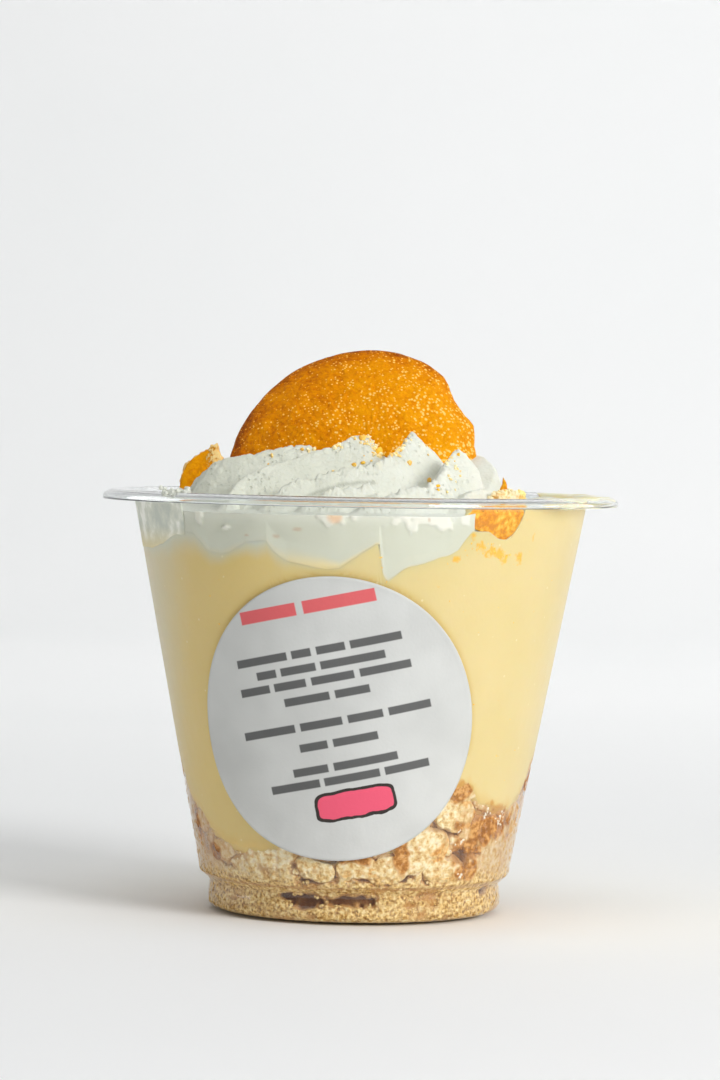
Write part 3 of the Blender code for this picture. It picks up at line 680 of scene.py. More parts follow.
def crumb_relief(points, line):
    """How far the crumbs stand back from the wall."""
    sand = np.clip(noise(points, SAND, seed=21, octaves=2), 0, 1)
    broad = noise(points, LUMP, seed=22, octaves=2)
    back = 0.00005 + 0.00032 * cells(points, GRAIN, seed=20) ** 2 + 0.00016 * sand
    back = back + 0.0009 * np.clip(broad - 0.30, 0, 1)
    back = back + HOLLOW * inside_ovals(points, HOLLOWS, 0.7, 0.6)
    back = back + PRESSED * inside_ovals(points, CHUNKS, 0.35, 0.3)
    under = fading(np.abs(points[..., 2] - SHOULDER_Z), SHOULDER_HALF)
    back = back + SHOULDER_GAP * under * (0.6 + 0.4 * broad)
    return back + 0.35 * np.clip(points[..., 2] - line, 0, 1)


angles = all_round(CRUMB_COLUMNS)
line = crumb_line(angles)
heights = BOTTOM + (line + BEHIND_PUDDING - BOTTOM) * np.linspace(1, 0, SIDE_ROWS)[:, None]
back = crumb_relief(on_circle(wall_radius(heights), angles, heights), line)
side = on_circle(wall_radius(heights) + INTO_WALL - back, angles, heights)
side_radius, _ = polar(side)
top = []
for share in np.linspace(0, 0.97, TOP_ROWS):
    height = crumb_top(share, angles) + 0.0004 * noise(on_circle(share * NOISE_R, angles, 0.0), 0.0016, 24)
    top.append(on_circle(share * side_radius[0], angles, np.minimum(height, heights[0])))
floor = [
    on_circle(share * side_radius[-1], angles, BOTTOM + RAISED * (share < FOOT_RING))
    for share in (0.9, 0.8, 0)
]
rows = np.concatenate([top, side, floor])
depth = np.pad(back * 1000, ((len(top), len(floor)), (0, 0)), constant_values=((0.4, 0), (0, 0)))
soaked = inside_ovals(rows, SOAKED, 0.7, 0.5)
core = turned_piece("crumb_core", rows, depth=depth, soaked=soaked)

# %% The larger broken pieces
BACK_CHUNKS = 14
CHUNK_INSET = 0.0017  # how far a piece's middle is from the wall
CHUNK_LOW, CHUNK_BELOW_LINE = 0.0098, 0.0010  # where pieces at the back may lie
PORE, SMALL_PORE = 0.0012, 0.00065
PORE_DEEP, PORE_ON_WALL = 0.00028, 0.00030  # how deep a pore is, on a free side and on the wall
FINE_BALL, COARSE_BALL = 5, 4  # how often the balls are divided, in front and at the back
# The side of each piece that kept its crust: degrees on the wall, from right towards up
CRUSTS = (-35, -150, 70, 10, 80, -90, 200, 160, 20, 120, -60, 90, 30)


def chunk_points(ball_points, chunk, rng):
    """One broken piece: a dented lump, flat on the wall, porous all over."""
    degrees, height, length, width, thickness = chunk
    turn = math.radians(degrees)
    shape = ball_points * (1 + 0.20 * noise(ball_points, 0.8, int(rng.integers(99)), 2)[:, None])
    shape = shape * np.array([length, thickness, width]) / 2
    lean = rng.uniform(-0.4, 0.4)
    spin = np.array(Matrix.Rotation(turn + math.pi / 2, 3, "Z") @ Matrix.Rotation(lean, 3, "Y"))
    out = float(wall_radius(height)) - CHUNK_INSET
    placed = shape @ spin.T + (out * math.cos(turn), out * math.sin(turn), height)
    normal = shape / np.linalg.norm(shape, axis=1)[:, None] @ spin.T
    pit = fading(cells(placed, PORE, seed=40), 0.42) + 0.4 * fading(cells(placed, SMALL_PORE, seed=41), 0.36)
    rough = 0.00020 * noise(placed, 0.0011, 42, 2)
    placed = placed + normal * (rough - PORE_DEEP * pit)[:, None]
    radius, _ = polar(placed)
    uneven = 0.00006 + 0.00010 * np.clip(noise(placed, 0.0013, 43, 2), 0, 1)
    limit = wall_radius(placed[:, 2]) + INTO_WALL - uneven - PORE_ON_WALL * pit
    placed[:, :2] *= (np.minimum(radius, limit) / radius)[:, None]
    back = (wall_radius(placed[:, 2]) + INTO_WALL - polar(placed)[0]) * 1000
    return placed, back + 0.5 * pit


rng = np.random.default_rng(8)
every_chunk = list(CHUNKS)
for i in range(BACK_CHUNKS):
    degrees = 12 + 160 / BACK_CHUNKS * (i + rng.uniform(0.2, 0.8))
    high = max(float(crumb_line(math.radians(degrees))) - CHUNK_BELOW_LINE, CHUNK_LOW + 0.001)
    size = rng.uniform(0.0062, 0.0092)
    every_chunk.append((degrees, rng.uniform(CHUNK_LOW, high), size, size * 0.78, size * 0.62))
balls = [ball(FINE_BALL if chunk in CHUNKS else COARSE_BALL) for chunk in every_chunk]
placed, depths = zip(*(chunk_points(made[0], chunk, rng) for made, chunk in zip(balls, every_chunk)))
crusts, faces, passed = [], [], 0
for number, (ball_points, ball_faces) in enumerate(balls):
    turn = math.radians(CRUSTS[number] if number < len(CRUSTS) else rng.uniform(0, 360))
    side_of = ball_points @ np.array([math.cos(turn), 0, math.sin(turn)])
    crusts.append(np.clip((side_of + 0.45 * noise(ball_points, 0.4, number, 3) - 0.55) / 0.5, 0, 1))
    faces.append(ball_faces + passed)
    passed += len(ball_points)
points = np.concatenate(placed)
chunks = new_piece(
    "wafer_chunks",
    points,
    np.concatenate(faces),
    crust=np.concatenate(crusts),
    depth=np.concatenate(depths),
    soaked=inside_ovals(points, SOAKED, 0.7, 0.5),
)

# %% Loose grains
GRAINS = 1850
GRAIN_LOW, GRAIN_ABOVE_LINE = 0.0014, 0.0003  # where grains may lie
PROUD = 0.00004  # how far loose grains and flecks stand out of what they lie in
rng = np.random.default_rng(14)
turn = rng.uniform(-math.pi, math.pi, GRAINS)
rise = rng.uniform(0, 1, GRAINS)
grain_size = 0.00045 + 0.0010 * rng.uniform(0, 1, GRAINS) ** 2.2
grain_z = GRAIN_LOW + (crumb_line(turn) + GRAIN_ABOVE_LINE - GRAIN_LOW) * rise
nearest = np.minimum(wall_radius(grain_z - grain_size / 2), wall_radius(grain_z + grain_size / 2))
places = on_circle(nearest + PROUD - grain_size * rng.uniform(0.46, 0.60, GRAINS), turn, grain_z)
free = inside_ovals(places, CHUNKS + HOLLOWS, 0.01, 0.0) < 0.5
kind = rng.uniform(0, 1, GRAINS)[free]
places, soaked = places[free], inside_ovals(places[free], SOAKED, 0.7, 0.5)
grains = scattered(
    "crumb_grains", places, grain_size[free], rng, rounds=2, rough=0.16, kind=kind, soaked=soaked
)

# %% Sugar specks
SPECKS = 460
rng = np.random.default_rng(15)
turn = np.radians(rng.uniform(-58, -28, SPECKS))
speck_z = rng.uniform(0.0085, 0.0205, SPECKS)
speck_size = rng.uniform(0.0003, 0.0008, SPECKS)
places = on_circle(wall_radius(speck_z) + 0.00006 - speck_size * 0.5, turn, speck_z)
clumped = (inside_ovals(places, SOAKED, 0.3, 0.2) > 0.6) & (noise(places, 0.0026, 16, 2) > 0.05)
specks = scattered("sugar_specks", places[clumped], speck_size[clumped], rng, rounds=2, rough=0.2)

# %% [markdown]
# ## The finish of broken wafer
#
# A broken vanilla wafer is pale and porous inside and orange brown where its crust is left.
# Its pits and the gaps between grains lie in shade, and that shade is painted into the colour: it
# goes from cream through tan to brown with the depth that each piece carries. Where the pudding
# soaked in, it turns to a wet amber brown. A noise of a millimetre, called sand, breaks all of
# this up.


# %% The colours of broken wafer
def crumb_look(name, crusty=None):
    """Broken wafer and its sand. crusty picks the places that show crust."""
    look = Look(name, Specular_IOR_Level=0.25)
    sand = look.noise(0.0010, detail=4, rough=0.60)
    patches = look.noise(0.0045, detail=3)
    look.colour = look.ramp(
        sand + 0.20 * patches - 0.10,
        (0.34, 204, 158, 98), (0.43, 230, 198, 140), (0.52, 243, 220, 168), (0.62, 253, 240, 206),
    )
    tan = look.noise(0.0021, detail=4, rough=0.6).between(0.56, 0.66)
    look.paint(0.45 * tan, srgb(216, 160, 98))
    if crusty:
        crust = look.ramp(sand, (0.36, 196, 122, 42), (0.50, 230, 162, 74), (0.62, 246, 204, 128))
        look.paint(0.75 * crusty(look, sand), crust)
    across, height = look.axis("X"), look.axis("Z")
    left = (0.006 * patches - across).between(0.021, 0.029)
    look.paint(0.52 * left, srgb(188, 144, 114))
    right = (0.006 * patches + across).between(0.018, 0.031)
    look.paint(0.50 * right, srgb(182, 134, 86))
    # Near the bottom a finer crumb, whose darkest tones are painted shade in the pits between its grains.
    dust_and_shade = look.ramp(
        look.noise(0.0006, detail=3, rough=0.6) + 0.3 * sand - 0.15,
        (0.34, 126, 80, 24), (0.44, 190, 144, 74), (0.52, 224, 186, 114), (0.64, 248, 226, 166),
    )
    look.paint(0.82 * (0.003 * patches - height).between(-0.0090, -0.0050), dust_and_shade)
    wet = look.ramp(
        sand + 0.4 * patches - 0.2, (0.34, 132, 72, 18), (0.48, 180, 112, 42), (0.62, 220, 162, 90)
    )
    look.paint(0.9 * (look.kept("soaked") + 1.4 * sand - 0.7).between(0.10, 1.0), wet)
    return look, sand


def wafer_roughness(sand):
    """How rough broken wafer is, where its sand is high or low."""
    return 0.55 + 0.4 * sand


print("broken wafer is rough from", wafer_roughness(0), "to", wafer_roughness(1))

# %% The core, the pieces and the grains
look, sand = crumb_look("crumb")
# Painted shade: where the core stands back from the plastic it turns tan, and in the hollows brown, darkest
# at the foot.
gap = look.kept("depth") + 0.5 * sand - 0.25
look.paint(0.72 * gap.between(0.16, 0.62), srgb(190, 134, 72))
deep = look.mix(look.axis("Z").between(0.0074, 0.0060), srgb(150, 100, 50), srgb(94, 46, 0))
look.paint(0.92 * gap.between(0.7, 1.5), deep)
look.finish(wafer_roughness(sand), sand + 0.3 * look.grains(0.0005), 0.00030)
place_on_cup(core, look, "wafer_crumbs")

look, sand = crumb_look(
    "porous_wafer", lambda look, sand: (look.kept("crust") + 1.3 * sand - 0.65).between(0.15, 1.0)
)
# Painted shade in the pores and where a piece stands back from the plastic.
gap = look.kept("depth") + 0.5 * sand - 0.25
look.paint(0.60 * gap.between(0.25, 0.9), srgb(196, 142, 78))
look.paint(0.8 * gap.between(1.4, 3.0), srgb(150, 92, 30))
look.finish(wafer_roughness(sand), sand + 0.3 * look.grains(0.0007), 0.00032)
place_on_cup(chunks, look, "wafer_crumbs")

look, sand = crumb_look("crumb_grain", lambda look, sand: 0.75 * look.kept("kind").between(0.90, 0.94))
look.finish(wafer_roughness(sand), sand, 0.0002)
place_on_cup(grains, look, "wafer_crumbs")

look = plain_look("sugar_speck", 0.0004, 0.4, 0.3, 0.4, 0.0001, (0.3, 236, 216, 180), (0.6, 252, 246, 232))
place_on_cup(specks, look, "wafer_crumbs")

# %% [markdown]
# ## The pudding
#
# The pudding was spooned in while soft, so it lies smooth against the plastic from the
# crumbs up to the cream, and at the right it was pushed up to the rim. It is a plug that is
# turned round the axis. Each of its rows is placed by the two lines. It starts a little
# below the crumb line and a little further in, so that crumbs stand out of it, and where the
# cream lies on the wall it goes on a little way behind the cream.

# %% The pudding plug
CREAM_EDGE = from_mm(
    (-180, 35), (-164, 35.1), (-156, 37.2), (-149, 45), (-63, 45), (-60, 39.2), (-54, 38.4),
    (-49, 36.8), (-45, 32.5), (-40, 29.2), (-32, 27.2), (0, 26.6), (28, 27.5), (44, 32), (52, 38),
    (57, 45), (148, 45), (156, 37.2), (164, 35.1),
)
PLUG_COLUMNS, PLUG_RINGS, PLUG_ROWS = 480, 12, 62
# Where golden flecks tint the pudding round them: angle, height, length, width
GOLDEN = from_mm(
    (-55.6, 66.2, 4, 2.2), (-52.4, 65.7, 2.8, 1.8), (-49.8, 65.1, 3, 1.8), (-44.7, 65, 2.6, 2.2),
    (-58, 67.4, 1.6, 1.2), (-60.9, 69, 1.2, 1), (-64.9, 65, 1.6, 1.2), (-40.3, 68, 0.9, 2.4),
    (86, 60, 5, 3),
)
TUCK = 0.0004  # how far the pudding stands back behind the cream
BELOW_CREAM, BEHIND_CREAM = 0.0002, 0.0006  # how far it lies under the cream, and goes up behind it
SWELL, SWELL_SIZE = 0.0005, 0.005  # how uneven its free top is
LIPS = (0.00003, 0.00008, 0.0002, 0.0005)  # its first rows, below the cream line
BEHIND_CRUMBS, SINK, SINK_SLOPE = 0.0022, 0.00012, 0.5  # how far it goes down behind the crumbs, and in
CORE_R, INSIDE_CRUMBS = 0.028, 0.0024  # its underside, inside the crumbs
LABEL_R, LABEL_ANGLE, LABEL_HEIGHT = 0.0254, math.radians(-97.0), 0.0368
LABEL_SHADE, SHADE_FROM = 0.0016, 0.030  # width of the shade round the label, and its lowest height
CRUMB_TINT = 0.004  # how far above the crumbs the pudding takes their colour


def label_across(points):
    """How far points are from the label's middle, along the wall."""
    radius, angle = polar(points)
    return ((angle - LABEL_ANGLE + math.pi) % (2 * math.pi) - math.pi) * radius


def cream_reach(angle, height):
    """The radius where the cream ends: its own edge, or just into the wall."""
    return np.minimum(round_table(CREAM_EDGE, angle), wall_radius(height) + INTO_WALL)


angles = all_round(PLUG_COLUMNS)
line = pudding_line(angles)
crumbs = crumb_line(angles)
covered = (round_table(CREAM_EDGE, angles) > wall_radius(line)).astype(float)
inner = cream_reach(angles, line) - TUCK * covered
outer = wall_radius(line) + INTO_WALL - TUCK * covered
rows = [
    on_circle(share * inner, angles, under_cream(share, angles) - BELOW_CREAM)
    for share in np.linspace(0, 1, PLUG_RINGS)
]
start, end = under_cream(1.0, angles), line + BEHIND_CREAM * covered
for share in np.linspace(0.08, 1, PLUG_RINGS):
    climb = start + (end - start) * math.sin(min(share * 2.2, 1) * math.pi / 2)
    swell = SWELL * noise(on_circle(NOISE_R + share * 0.01, angles, 0.0), SWELL_SIZE, 51, 2)
    rows.append(on_circle(inner + (outer - inner) * share, angles, climb + swell * math.sin(share * math.pi)))
lips = [line + 0.0004 * covered, line] + [line - step for step in LIPS]
foot = crumbs - BEHIND_CRUMBS
steps = [lips[-1] + (foot - lips[-1]) * share for share in np.linspace(0.01, 1, PLUG_ROWS) ** 0.9]
for height in lips + steps:
    low = crumbs + 0.0004 - height
    sink = np.where(low > 0, SINK_SLOPE * low + SINK, 0.0) + TUCK * covered * (height >= line)
    rows.append(on_circle(wall_radius(height) + INTO_WALL - sink, angles, height))
for share in (0.9, 0.6, 0.3, 0.0):
    rows.append(on_circle(share * CORE_R, angles, crumb_top(share, angles) - INSIDE_CRUMBS))
rows = np.array(rows)
from_label = np.hypot(label_across(rows), rows[..., 2] - LABEL_HEIGHT) - LABEL_R
pudding = turned_piece(
    "banana_pudding",
    rows,
    film=cream_share(rows),
    near_crumbs=fading(rows[..., 2] - crumbs, CRUMB_TINT),
    soaked=inside_ovals(rows, SOAKED, 1.0, 0.5),
    shaded=fading(np.abs(from_label), LABEL_SHADE) * (rows[..., 2] > SHADE_FROM),
    golden=inside_ovals(rows, GOLDEN, 1.1, 0.5),
)

# %% Flecks in the pudding
# Where golden flecks gather against the wall: angle, height, length, width, and how many there
FLECKS = from_mm(
    (-61, 66.8, 4, 2), (-54.5, 66.8, 5, 2.6), (-50, 65.5, 4, 2.6), (-45, 65, 3, 2.4),
    (-66, 64.2, 3, 1.6), (-84, 68.4, 2, 1), (-52, 58, 30, 16), (-130, 56, 30, 20), (40, 60, 30, 16),
    (120, 58, 40, 16), (-35, 33, 20, 16),
)
FLECK_COUNTS = (8, 26, 16, 8, 3, 3, 10, 5, 14, 12, 6)
UPPER_WALL_R = 0.038
rng = np.random.default_rng(17)
spots = []
for (degrees, height, length, tall), count in zip(FLECKS, FLECK_COUNTS):
    turn = math.radians(degrees) + rng.normal(0, length / 4, count) / UPPER_WALL_R
    spots.extend(zip(turn, height + rng.normal(0, tall / 4, count), rng.uniform(0.0003, 0.0009, count)))
turn, fleck_z, fleck_size = np.array(spots).T
fleck_z = np.minimum(fleck_z, pudding_line(turn) - 0.0004)
places = on_circle(wall_radius(fleck_z) + INTO_WALL + PROUD - fleck_size * 0.42, turn, fleck_z)
flecks = scattered("golden_flecks", places, fleck_size, rng, rounds=2, rough=0.2, flat=0.6)

# %% The pudding's finish
# The pudding's own colour, and the cream's colour painted in shade, for cream behind the plastic.
PUDDING_COLOUR, CREAM_IN_SHADE = srgb(241, 219, 154), srgb(214, 215, 196)


def faded(look):
    """How much cream lies on the wall at a place, with the streaks that a film has."""
    streaks = look.noise(0.0035, detail=4) * 0.3 - 0.15
    film = look.kept("film")
    return (film + streaks * (1 - abs(film * 2 - 1))).between(0.0, 1.0)


look = Look(
    "pudding",
    Subsurface_Weight=0.30,
    Subsurface_Radius=(0.9, 0.6, 0.25),
    Subsurface_Scale=0.003,
    Specular_IOR_Level=0.4,
)
thin = look.noise(0.0035, detail=4)
across = look.axis("X")
look.colour = look.ramp(look.noise(0.020, detail=2), (0.3, 224, 204, 142), (0.7, 229, 209, 153))
# Painted shade: the left side, turned away from the key lamp, is darker and more amber.
look.paint(0.5 * across.between(0.0, -0.024), srgb(227, 195, 108))
# Painted reflection: a grey haze of the plastic's reflection near the left edge.
look.paint(0.6 * (0.003 * thin - across).between(0.0300, 0.0385), srgb(216, 212, 186))
# The cream on the wall, painted in its shaded colour.
look.paint(faded(look), CREAM_IN_SHADE)
look.paint(0.42 * look.kept("shaded") ** 2, srgb(212, 166, 48))
spots = look.noise(0.0012, detail=4, rough=0.65) - 0.5
look.paint(0.75 * (look.kept("golden") + 2.4 * spots).between(0.35, 1.0), srgb(248, 182, 22))
look.paint(0.40 * (look.kept("near_crumbs") + thin * 0.8 - 0.4).between(0.3, 1.0), srgb(222, 176, 88))
look.paint(0.75 * (look.kept("soaked") + thin * 0.8 - 0.4).between(0.3, 0.8), srgb(206, 142, 52))
bubbles = look.grains(0.0031).between(0.085, 0.055)
look.paint(0.35 * bubbles, srgb(250, 238, 200))
look.finish(0.26 + 0.16 * thin, look.noise(0.003, detail=3), 0.0001)
place_on_cup(pudding, look, "pudding")

look = plain_look("golden_fleck", 0.0012, 0.2, 0.4, 0.3, 0.0001, (0.35, 252, 190, 40), (0.6, 255, 218, 110))
place_on_cup(flecks, look, "pudding")

# %% [markdown]
# ## The whipped cream
#
# The cream was piped through a star nozzle in a turning heap. Every groove of the nozzle left a
# ribbon whose upper edge climbs round the heap to its tip. A crest line is laid along each
# ribbon. The height of the cream at any place is the highest of a low mound and all ribbons.
# A ribbon falls away gently to the outside and steeply to the inside, which leaves the crisp
# edges that piped cream has. Behind the plastic the cream touches the wall only in
# places, and elsewhere it stands back and is painted greyer, as shade.

# %% Crest lines
SWIRL = (-0.0040, 0.0)
MOUND_R, MOUND_FOOT, MOUND_TOP = 0.0340, 0.0728, 0.0785
OUTSIDE, CREST_R = 1.15, 0.00025  # the slope outside a crest, and the crest's roundness
# Points along each crest in front: across, back and up in millimetres
FRONT_CRESTS = (
    ((-31.1, -11, 75.5), (-29.2, -12, 77.7), (-27.7, -12.5, 79.2), (-26, -13, 80.6),
     (-23.7, -13.5, 81.4), (-18, -13, 82.7), (-14.5, -12.5, 83.5), (-11, -11, 84), (-8.9, -10, 84)),
    ((-22.9, -29, 75), (-21.8, -27, 76.9), (-20.3, -25.5, 78.3), (-17.4, -23, 80),
     (-14.3, -21, 81.1), (-10.8, -18.5, 82), (-7.9, -16, 83.3), (-4.7, -14, 83.9), (-3, -12.5, 85),
     (-0.9, -11, 86), (0.6, -9.5, 85.7)),
    ((-15.7, -33, 75), (-13.5, -32, 76.6), (-10.9, -30.5, 78), (-7.2, -28.5, 79.1),
     (-2.8, -26, 80.2), (-0.2, -24, 80.9), (2.7, -21.5, 81.4), (5, -19, 82.3), (6.8, -15.5, 83.6),
     (8.2, -12.5, 85.7), (9.1, -11, 86.9)),
    ((-9.6, -35, 74.5), (-7.4, -34, 75.5), (-4.8, -33, 76.6), (-1.9, -31.5, 77.2), (1, -30, 77.7)),
    ((0.7, -35.5, 74.9), (4, -34.8, 75.9), (6.7, -34, 76.8), (9.8, -32.5, 77.4), (12.3, -31, 77.7),
     (13.7, -28, 79.6), (14.6, -22, 81.8), (17.2, -17, 83.8)),
    ((24.8, -10, 77.4), (24.1, -6, 79.3), (23.2, -2, 81.2), (21.8, 2, 82.2), (20.6, 5, 82.7)),
    ((26.2, -24, 75.2), (25.8, -20, 76.2), (25.3, -15, 77), (24.8, -10.5, 77.3)),
    ((17, -33, 75.2), (19.5, -30, 76.8), (22.2, -26.5, 77.2), (24.6, -22.5, 76.6)),
)
RAGGED = (0.09, 0.12, 0.55, 0.55, 0.50, 0.06, 0.05, 0.10)  # how torn each of those edges is, mm
INSIDE = (1.9, 1.9, 1.9, 1.9, 1.7, 0.25, 0.3, 0.3)  # the slope inside each crest
BACK_CRESTS, BACK_RAGGED, BACK_INSIDE = 9, 0.12, 1.9
BACK_FROM, BACK_SPAN, BACK_TWIST = 12, 184, 46  # degrees: first crest, from it to the last, turn of each
BACK_REACH, TIP_R, CREST_FOOT = 0.0330, 0.0125, 0.0750
BACK_TIPS = from_mm((0, 84.6), (100, 85), (150, 82.2), (180, 80.6), (240, 80))
CREAM_BRIM = from_mm(
    (-180, 73.8), (-160, 73.5), (-145, 72.2), (-65, 72.2), (-50, 74.5), (-30, 75.2), (30, 75.4),
    (50, 74), (70, 72.2), (145, 72.2), (160, 73.5),
)


def along(points, count):
    """Points spaced along a smooth curve through the given points."""
    keys, fine = np.linspace(0, 1, len(points)), np.linspace(0, 1, count)
    line = np.column_stack([np.interp(fine, keys, axis) for axis in np.array(points).T])
    for _ in range(3):
        line[1:-1] = (line[:-2] + 2 * line[1:-1] + line[2:]) / 4
    return line


def back_crest(number, rng):
    """A ribbon of the sides or back that turns as it climbs to its tip."""
    start = BACK_FROM + BACK_SPAN * number / (BACK_CRESTS - 1) + rng.uniform(-5, 5)
    twist, rise = BACK_TWIST * rng.uniform(0.85, 1.15), rng.uniform(-0.0008, 0.0008)
    points = []
    for step in (0.0, 0.3, 0.65, 1.0):
        angle = math.radians(start + twist * step)
        reach = min(BACK_REACH, float(round_table(CREAM_EDGE, angle)) - 0.0015)
        radius = reach + (TIP_R - reach) * step
        tip = float(round_table(BACK_TIPS, angle % (2 * math.pi))) + rise
        height = CREST_FOOT + (tip - CREST_FOOT) * step**0.8
        points.append((SWIRL[0] * step + radius * math.cos(angle), radius * math.sin(angle), height))
    return points


rng = np.random.default_rng(21)
crests = [along(np.array(crest) / 1000, 44) for crest in FRONT_CRESTS]
crests += [along(back_crest(number, rng), 36) for number in range(BACK_CRESTS)]
print(len(crests), "ribbons, tallest", round(max(c[:, 2].max() for c in crests) * 1000, 1), "mm")


# %% Ribbons over a mound
def ribbon(x, y, crest, inside):
    """The height of one ribbon at each place, and what the place is to its crest.

    That is how far it is away, whether it lies on the inner side, and how high the crest is there.
    """
    best = np.full(x.shape, 9.0)
    height, top = np.zeros(x.shape), np.zeros(x.shape)
    inner = np.zeros(x.shape, bool)
    for (ax, ay, az), (bx, by, bz) in zip(crest[:-1], crest[1:]):
        dx, dy = bx - ax, by - ay
        long = math.hypot(dx, dy)
        share = np.clip(((x - ax) * dx + (y - ay) * dy) / long**2, 0, 1)
        off_x, off_y = x - ax - share * dx, y - ay - share * dy
        off = np.hypot(off_x, off_y)
        inward = off_x * (SWIRL[0] - x) + off_y * (SWIRL[1] - y) > 0
        nearer = off < best
        best = np.where(nearer, off, best)
        fall = np.where(inward, inside, OUTSIDE) * (np.hypot(off, CREST_R) - CREST_R)
        top = np.where(nearer, az + (bz - az) * share, top)
        height = np.where(nearer, az + (bz - az) * share - fall, height)
        inner = np.where(nearer, inward, inner)
    return height, best, inner, top


TEAR_REACH = 0.0018  # how far from a crest its tears reach
SHADE_REACH, SHADE_HALF = 0.0045, 0.00045  # the shade at the foot of the step behind a crest


def cream_top(x, y):
    """The height of the swirl, the shade behind each crest, and how torn the cream is."""
    place = np.stack([x, y, 0 * x], -1)
    away = np.hypot(x - SWIRL[0], y - SWIRL[1]) / MOUND_R
    height = MOUND_FOOT + (MOUND_TOP - MOUND_FOOT) * fading(away**2, 1)
    winner = np.full(x.shape, -1)
    found = []
    bent_x = x + 0.0003 * noise(place, 0.005, 60, 2)
    bent_y = y + 0.0003 * noise(place, 0.005, 61, 2)
    for number, crest in enumerate(crests):
        front = number < len(FRONT_CRESTS)
        torn = (RAGGED[number] if front else BACK_RAGGED) / 1000
        inside = INSIDE[number] if front else BACK_INSIDE
        raised, off, inner, crest_top = ribbon(bent_x, bent_y, crest, inside)
        near = fading(off, TEAR_REACH)
        tear = noise(place + 0.01 * number, 0.0009, 62 + number, 3) - 0.25
        raised = raised + torn * tear * near + 0.00016 * noise(place + 0.02 * number, 0.006, 80, 2)
        winner = np.where(raised > height, number, winner)
        height = np.maximum(height, raised)
        found.append((off, inner, crest_top))
    shadow, torn = np.zeros(x.shape), 0.5 * (winner < 0)
    for number, (off, inner, crest_top) in enumerate(found):
        reach = np.where(inner, 0.0010, 0.0050)
        steep = number >= len(INSIDE) or INSIDE[number] > 1
        rough = 1 if steep else 0.2
        torn = np.maximum(torn, rough * (winner == number) * np.clip(1.3 - off / reach, 0, 1))
        behind = steep & inner & (off < SHADE_REACH) & (winner != number)
        shade = fading(np.abs(height - crest_top - 0.0001), SHADE_HALF)
        shadow = np.maximum(shadow, behind * shade)
    return height, shadow, torn


# %% The cream's side
# Where it presses on the wall and is painted lighter than the shaded rest: angle, height, length, width
PRESSES = from_mm(
    (-143.5, 71.2, 3.4, 4.4), (-134.5, 71.8, 2.2, 3), (-147.5, 69.7, 1.8, 3),
    (-126.3, 69.6, 1.6, 0.7), (-94.6, 72.2, 5.8, 2.6), (-97.8, 71.2, 2.4, 2), (-75.3, 72.2, 12.8, 3),
    (-81.5, 71.4, 4, 2.4), (-63.1, 71.8, 2.2, 3.4), (82, 71, 14, 3), (104, 69, 9, 5),
    (130, 70, 12, 4),
)
# Small brown marks in it, and places stained by crust
TICKS = from_mm(
    (-105.8, 69.7, 2, 0.5), (-111.4, 68.4, 1.2, 0.5), (-119.6, 68.4, 1, 0.4),
    (-97.1, 72.2, 0.6, 0.8), (-73, 71.7, 0.4, 0.4), (95, 69, 1, 0.5),
)
STAINS = from_mm((-96.3, 71.9, 2.2, 2), (88, 70.6, 3, 2.4))
# How far the cream stands back from the wall: angle and distance
STANDS_BACK = from_mm(
    (-180, 0), (-142, 0), (-136, 0.7), (-128, 0.8), (-108, 0.4), (-90, 0.3), (-68, 0.4), (-60, 0),
    (57, 0), (66, 0.7), (110, 1.2), (140, 0.8), (150, 0),
)


def cream_side(angle, height):
    """The radius of the cream's side: pressed on the wall, or standing back from it."""
    wall = on_circle(wall_radius(height), angle, height)
    free = 1 - inside_ovals(wall, PRESSES, 0.6, 0.9, seed=75)
    free = free * np.clip((height - pudding_line(angle)) / 0.0035, 0, 1)
    uneven = 0.8 + 0.3 * noise(wall * (1, 1, 2), 0.007, 76, 2)
    back = round_table(STANDS_BACK, angle) * uneven * free
    return cream_reach(angle, height) - np.clip(back, 0, 1)


print("the cream stands back by up to", max(back for _, back in STANDS_BACK) * 1000, "mm")

# %% The swirl
CREAM_COLUMNS, CREAM_RINGS, SIDE_LEVELS = 640, 118, 26
CROWDED = 0.5  # how much closer together the columns stand in front
CREAM_PORE, SMALL_CREAM_PORE, CREASE_DEEP = 0.00050, 0.00030, 0.00030  # how deep each goes in
even = np.arange(CREAM_COLUMNS) * 2 * math.pi / CREAM_COLUMNS
angles = even - CROWDED * np.sin(even + math.pi / 2)
shares = np.linspace(0, 1, CREAM_RINGS)[:, None] ** 0.85
brim = round_table(CREAM_BRIM, angles)
line = pudding_line(angles)
radius = shares * cream_side(angles, brim)
x, y = radius * np.cos(angles), radius * np.sin(angles)
swirl, shadow, torn = cream_top(x, y)
place = np.stack([x, y, swirl], -1)
torn = torn * np.clip(0.7 + 1.2 * noise(place, 0.0045, 73, 2), 0.1, 1)
swirl = swirl + (0.4 + 0.9 * torn) * 0.00020 * noise(place, 0.0018, 72, 3)
swirl = swirl + 0.00016 * noise(place, 0.0040, 78, 2)
bent = place + 0.0009 * noise(place, 0.003, 77)[..., None]
crease = fading(np.abs(noise(bent, 0.0046, 79, 2)), 0.16)
swirl = swirl - (0.3 + 0.7 * torn) * CREASE_DEEP * crease
dents = CREAM_PORE * fading(cells(place * (1, 1, 1.6), 0.0019, seed=70), 0.38)
dents = dents + SMALL_CREAM_PORE * fading(cells(place, 0.0010, seed=71), 0.42)
swirl = swirl - (0.10 + 0.90 * torn) * dents
inward = np.clip((1 - shares) * 12, 0, 1)
top = brim + (np.maximum(swirl, brim - 0.0006) - brim) * inward
rows = list(on_circle(radius, angles, top))
for level in np.linspace(0.05, 1, SIDE_LEVELS):
    height = top[-1] + (line - top[-1]) * level
    rows.append(on_circle(cream_side(angles, height), angles, height))
foot = cream_side(angles, line)
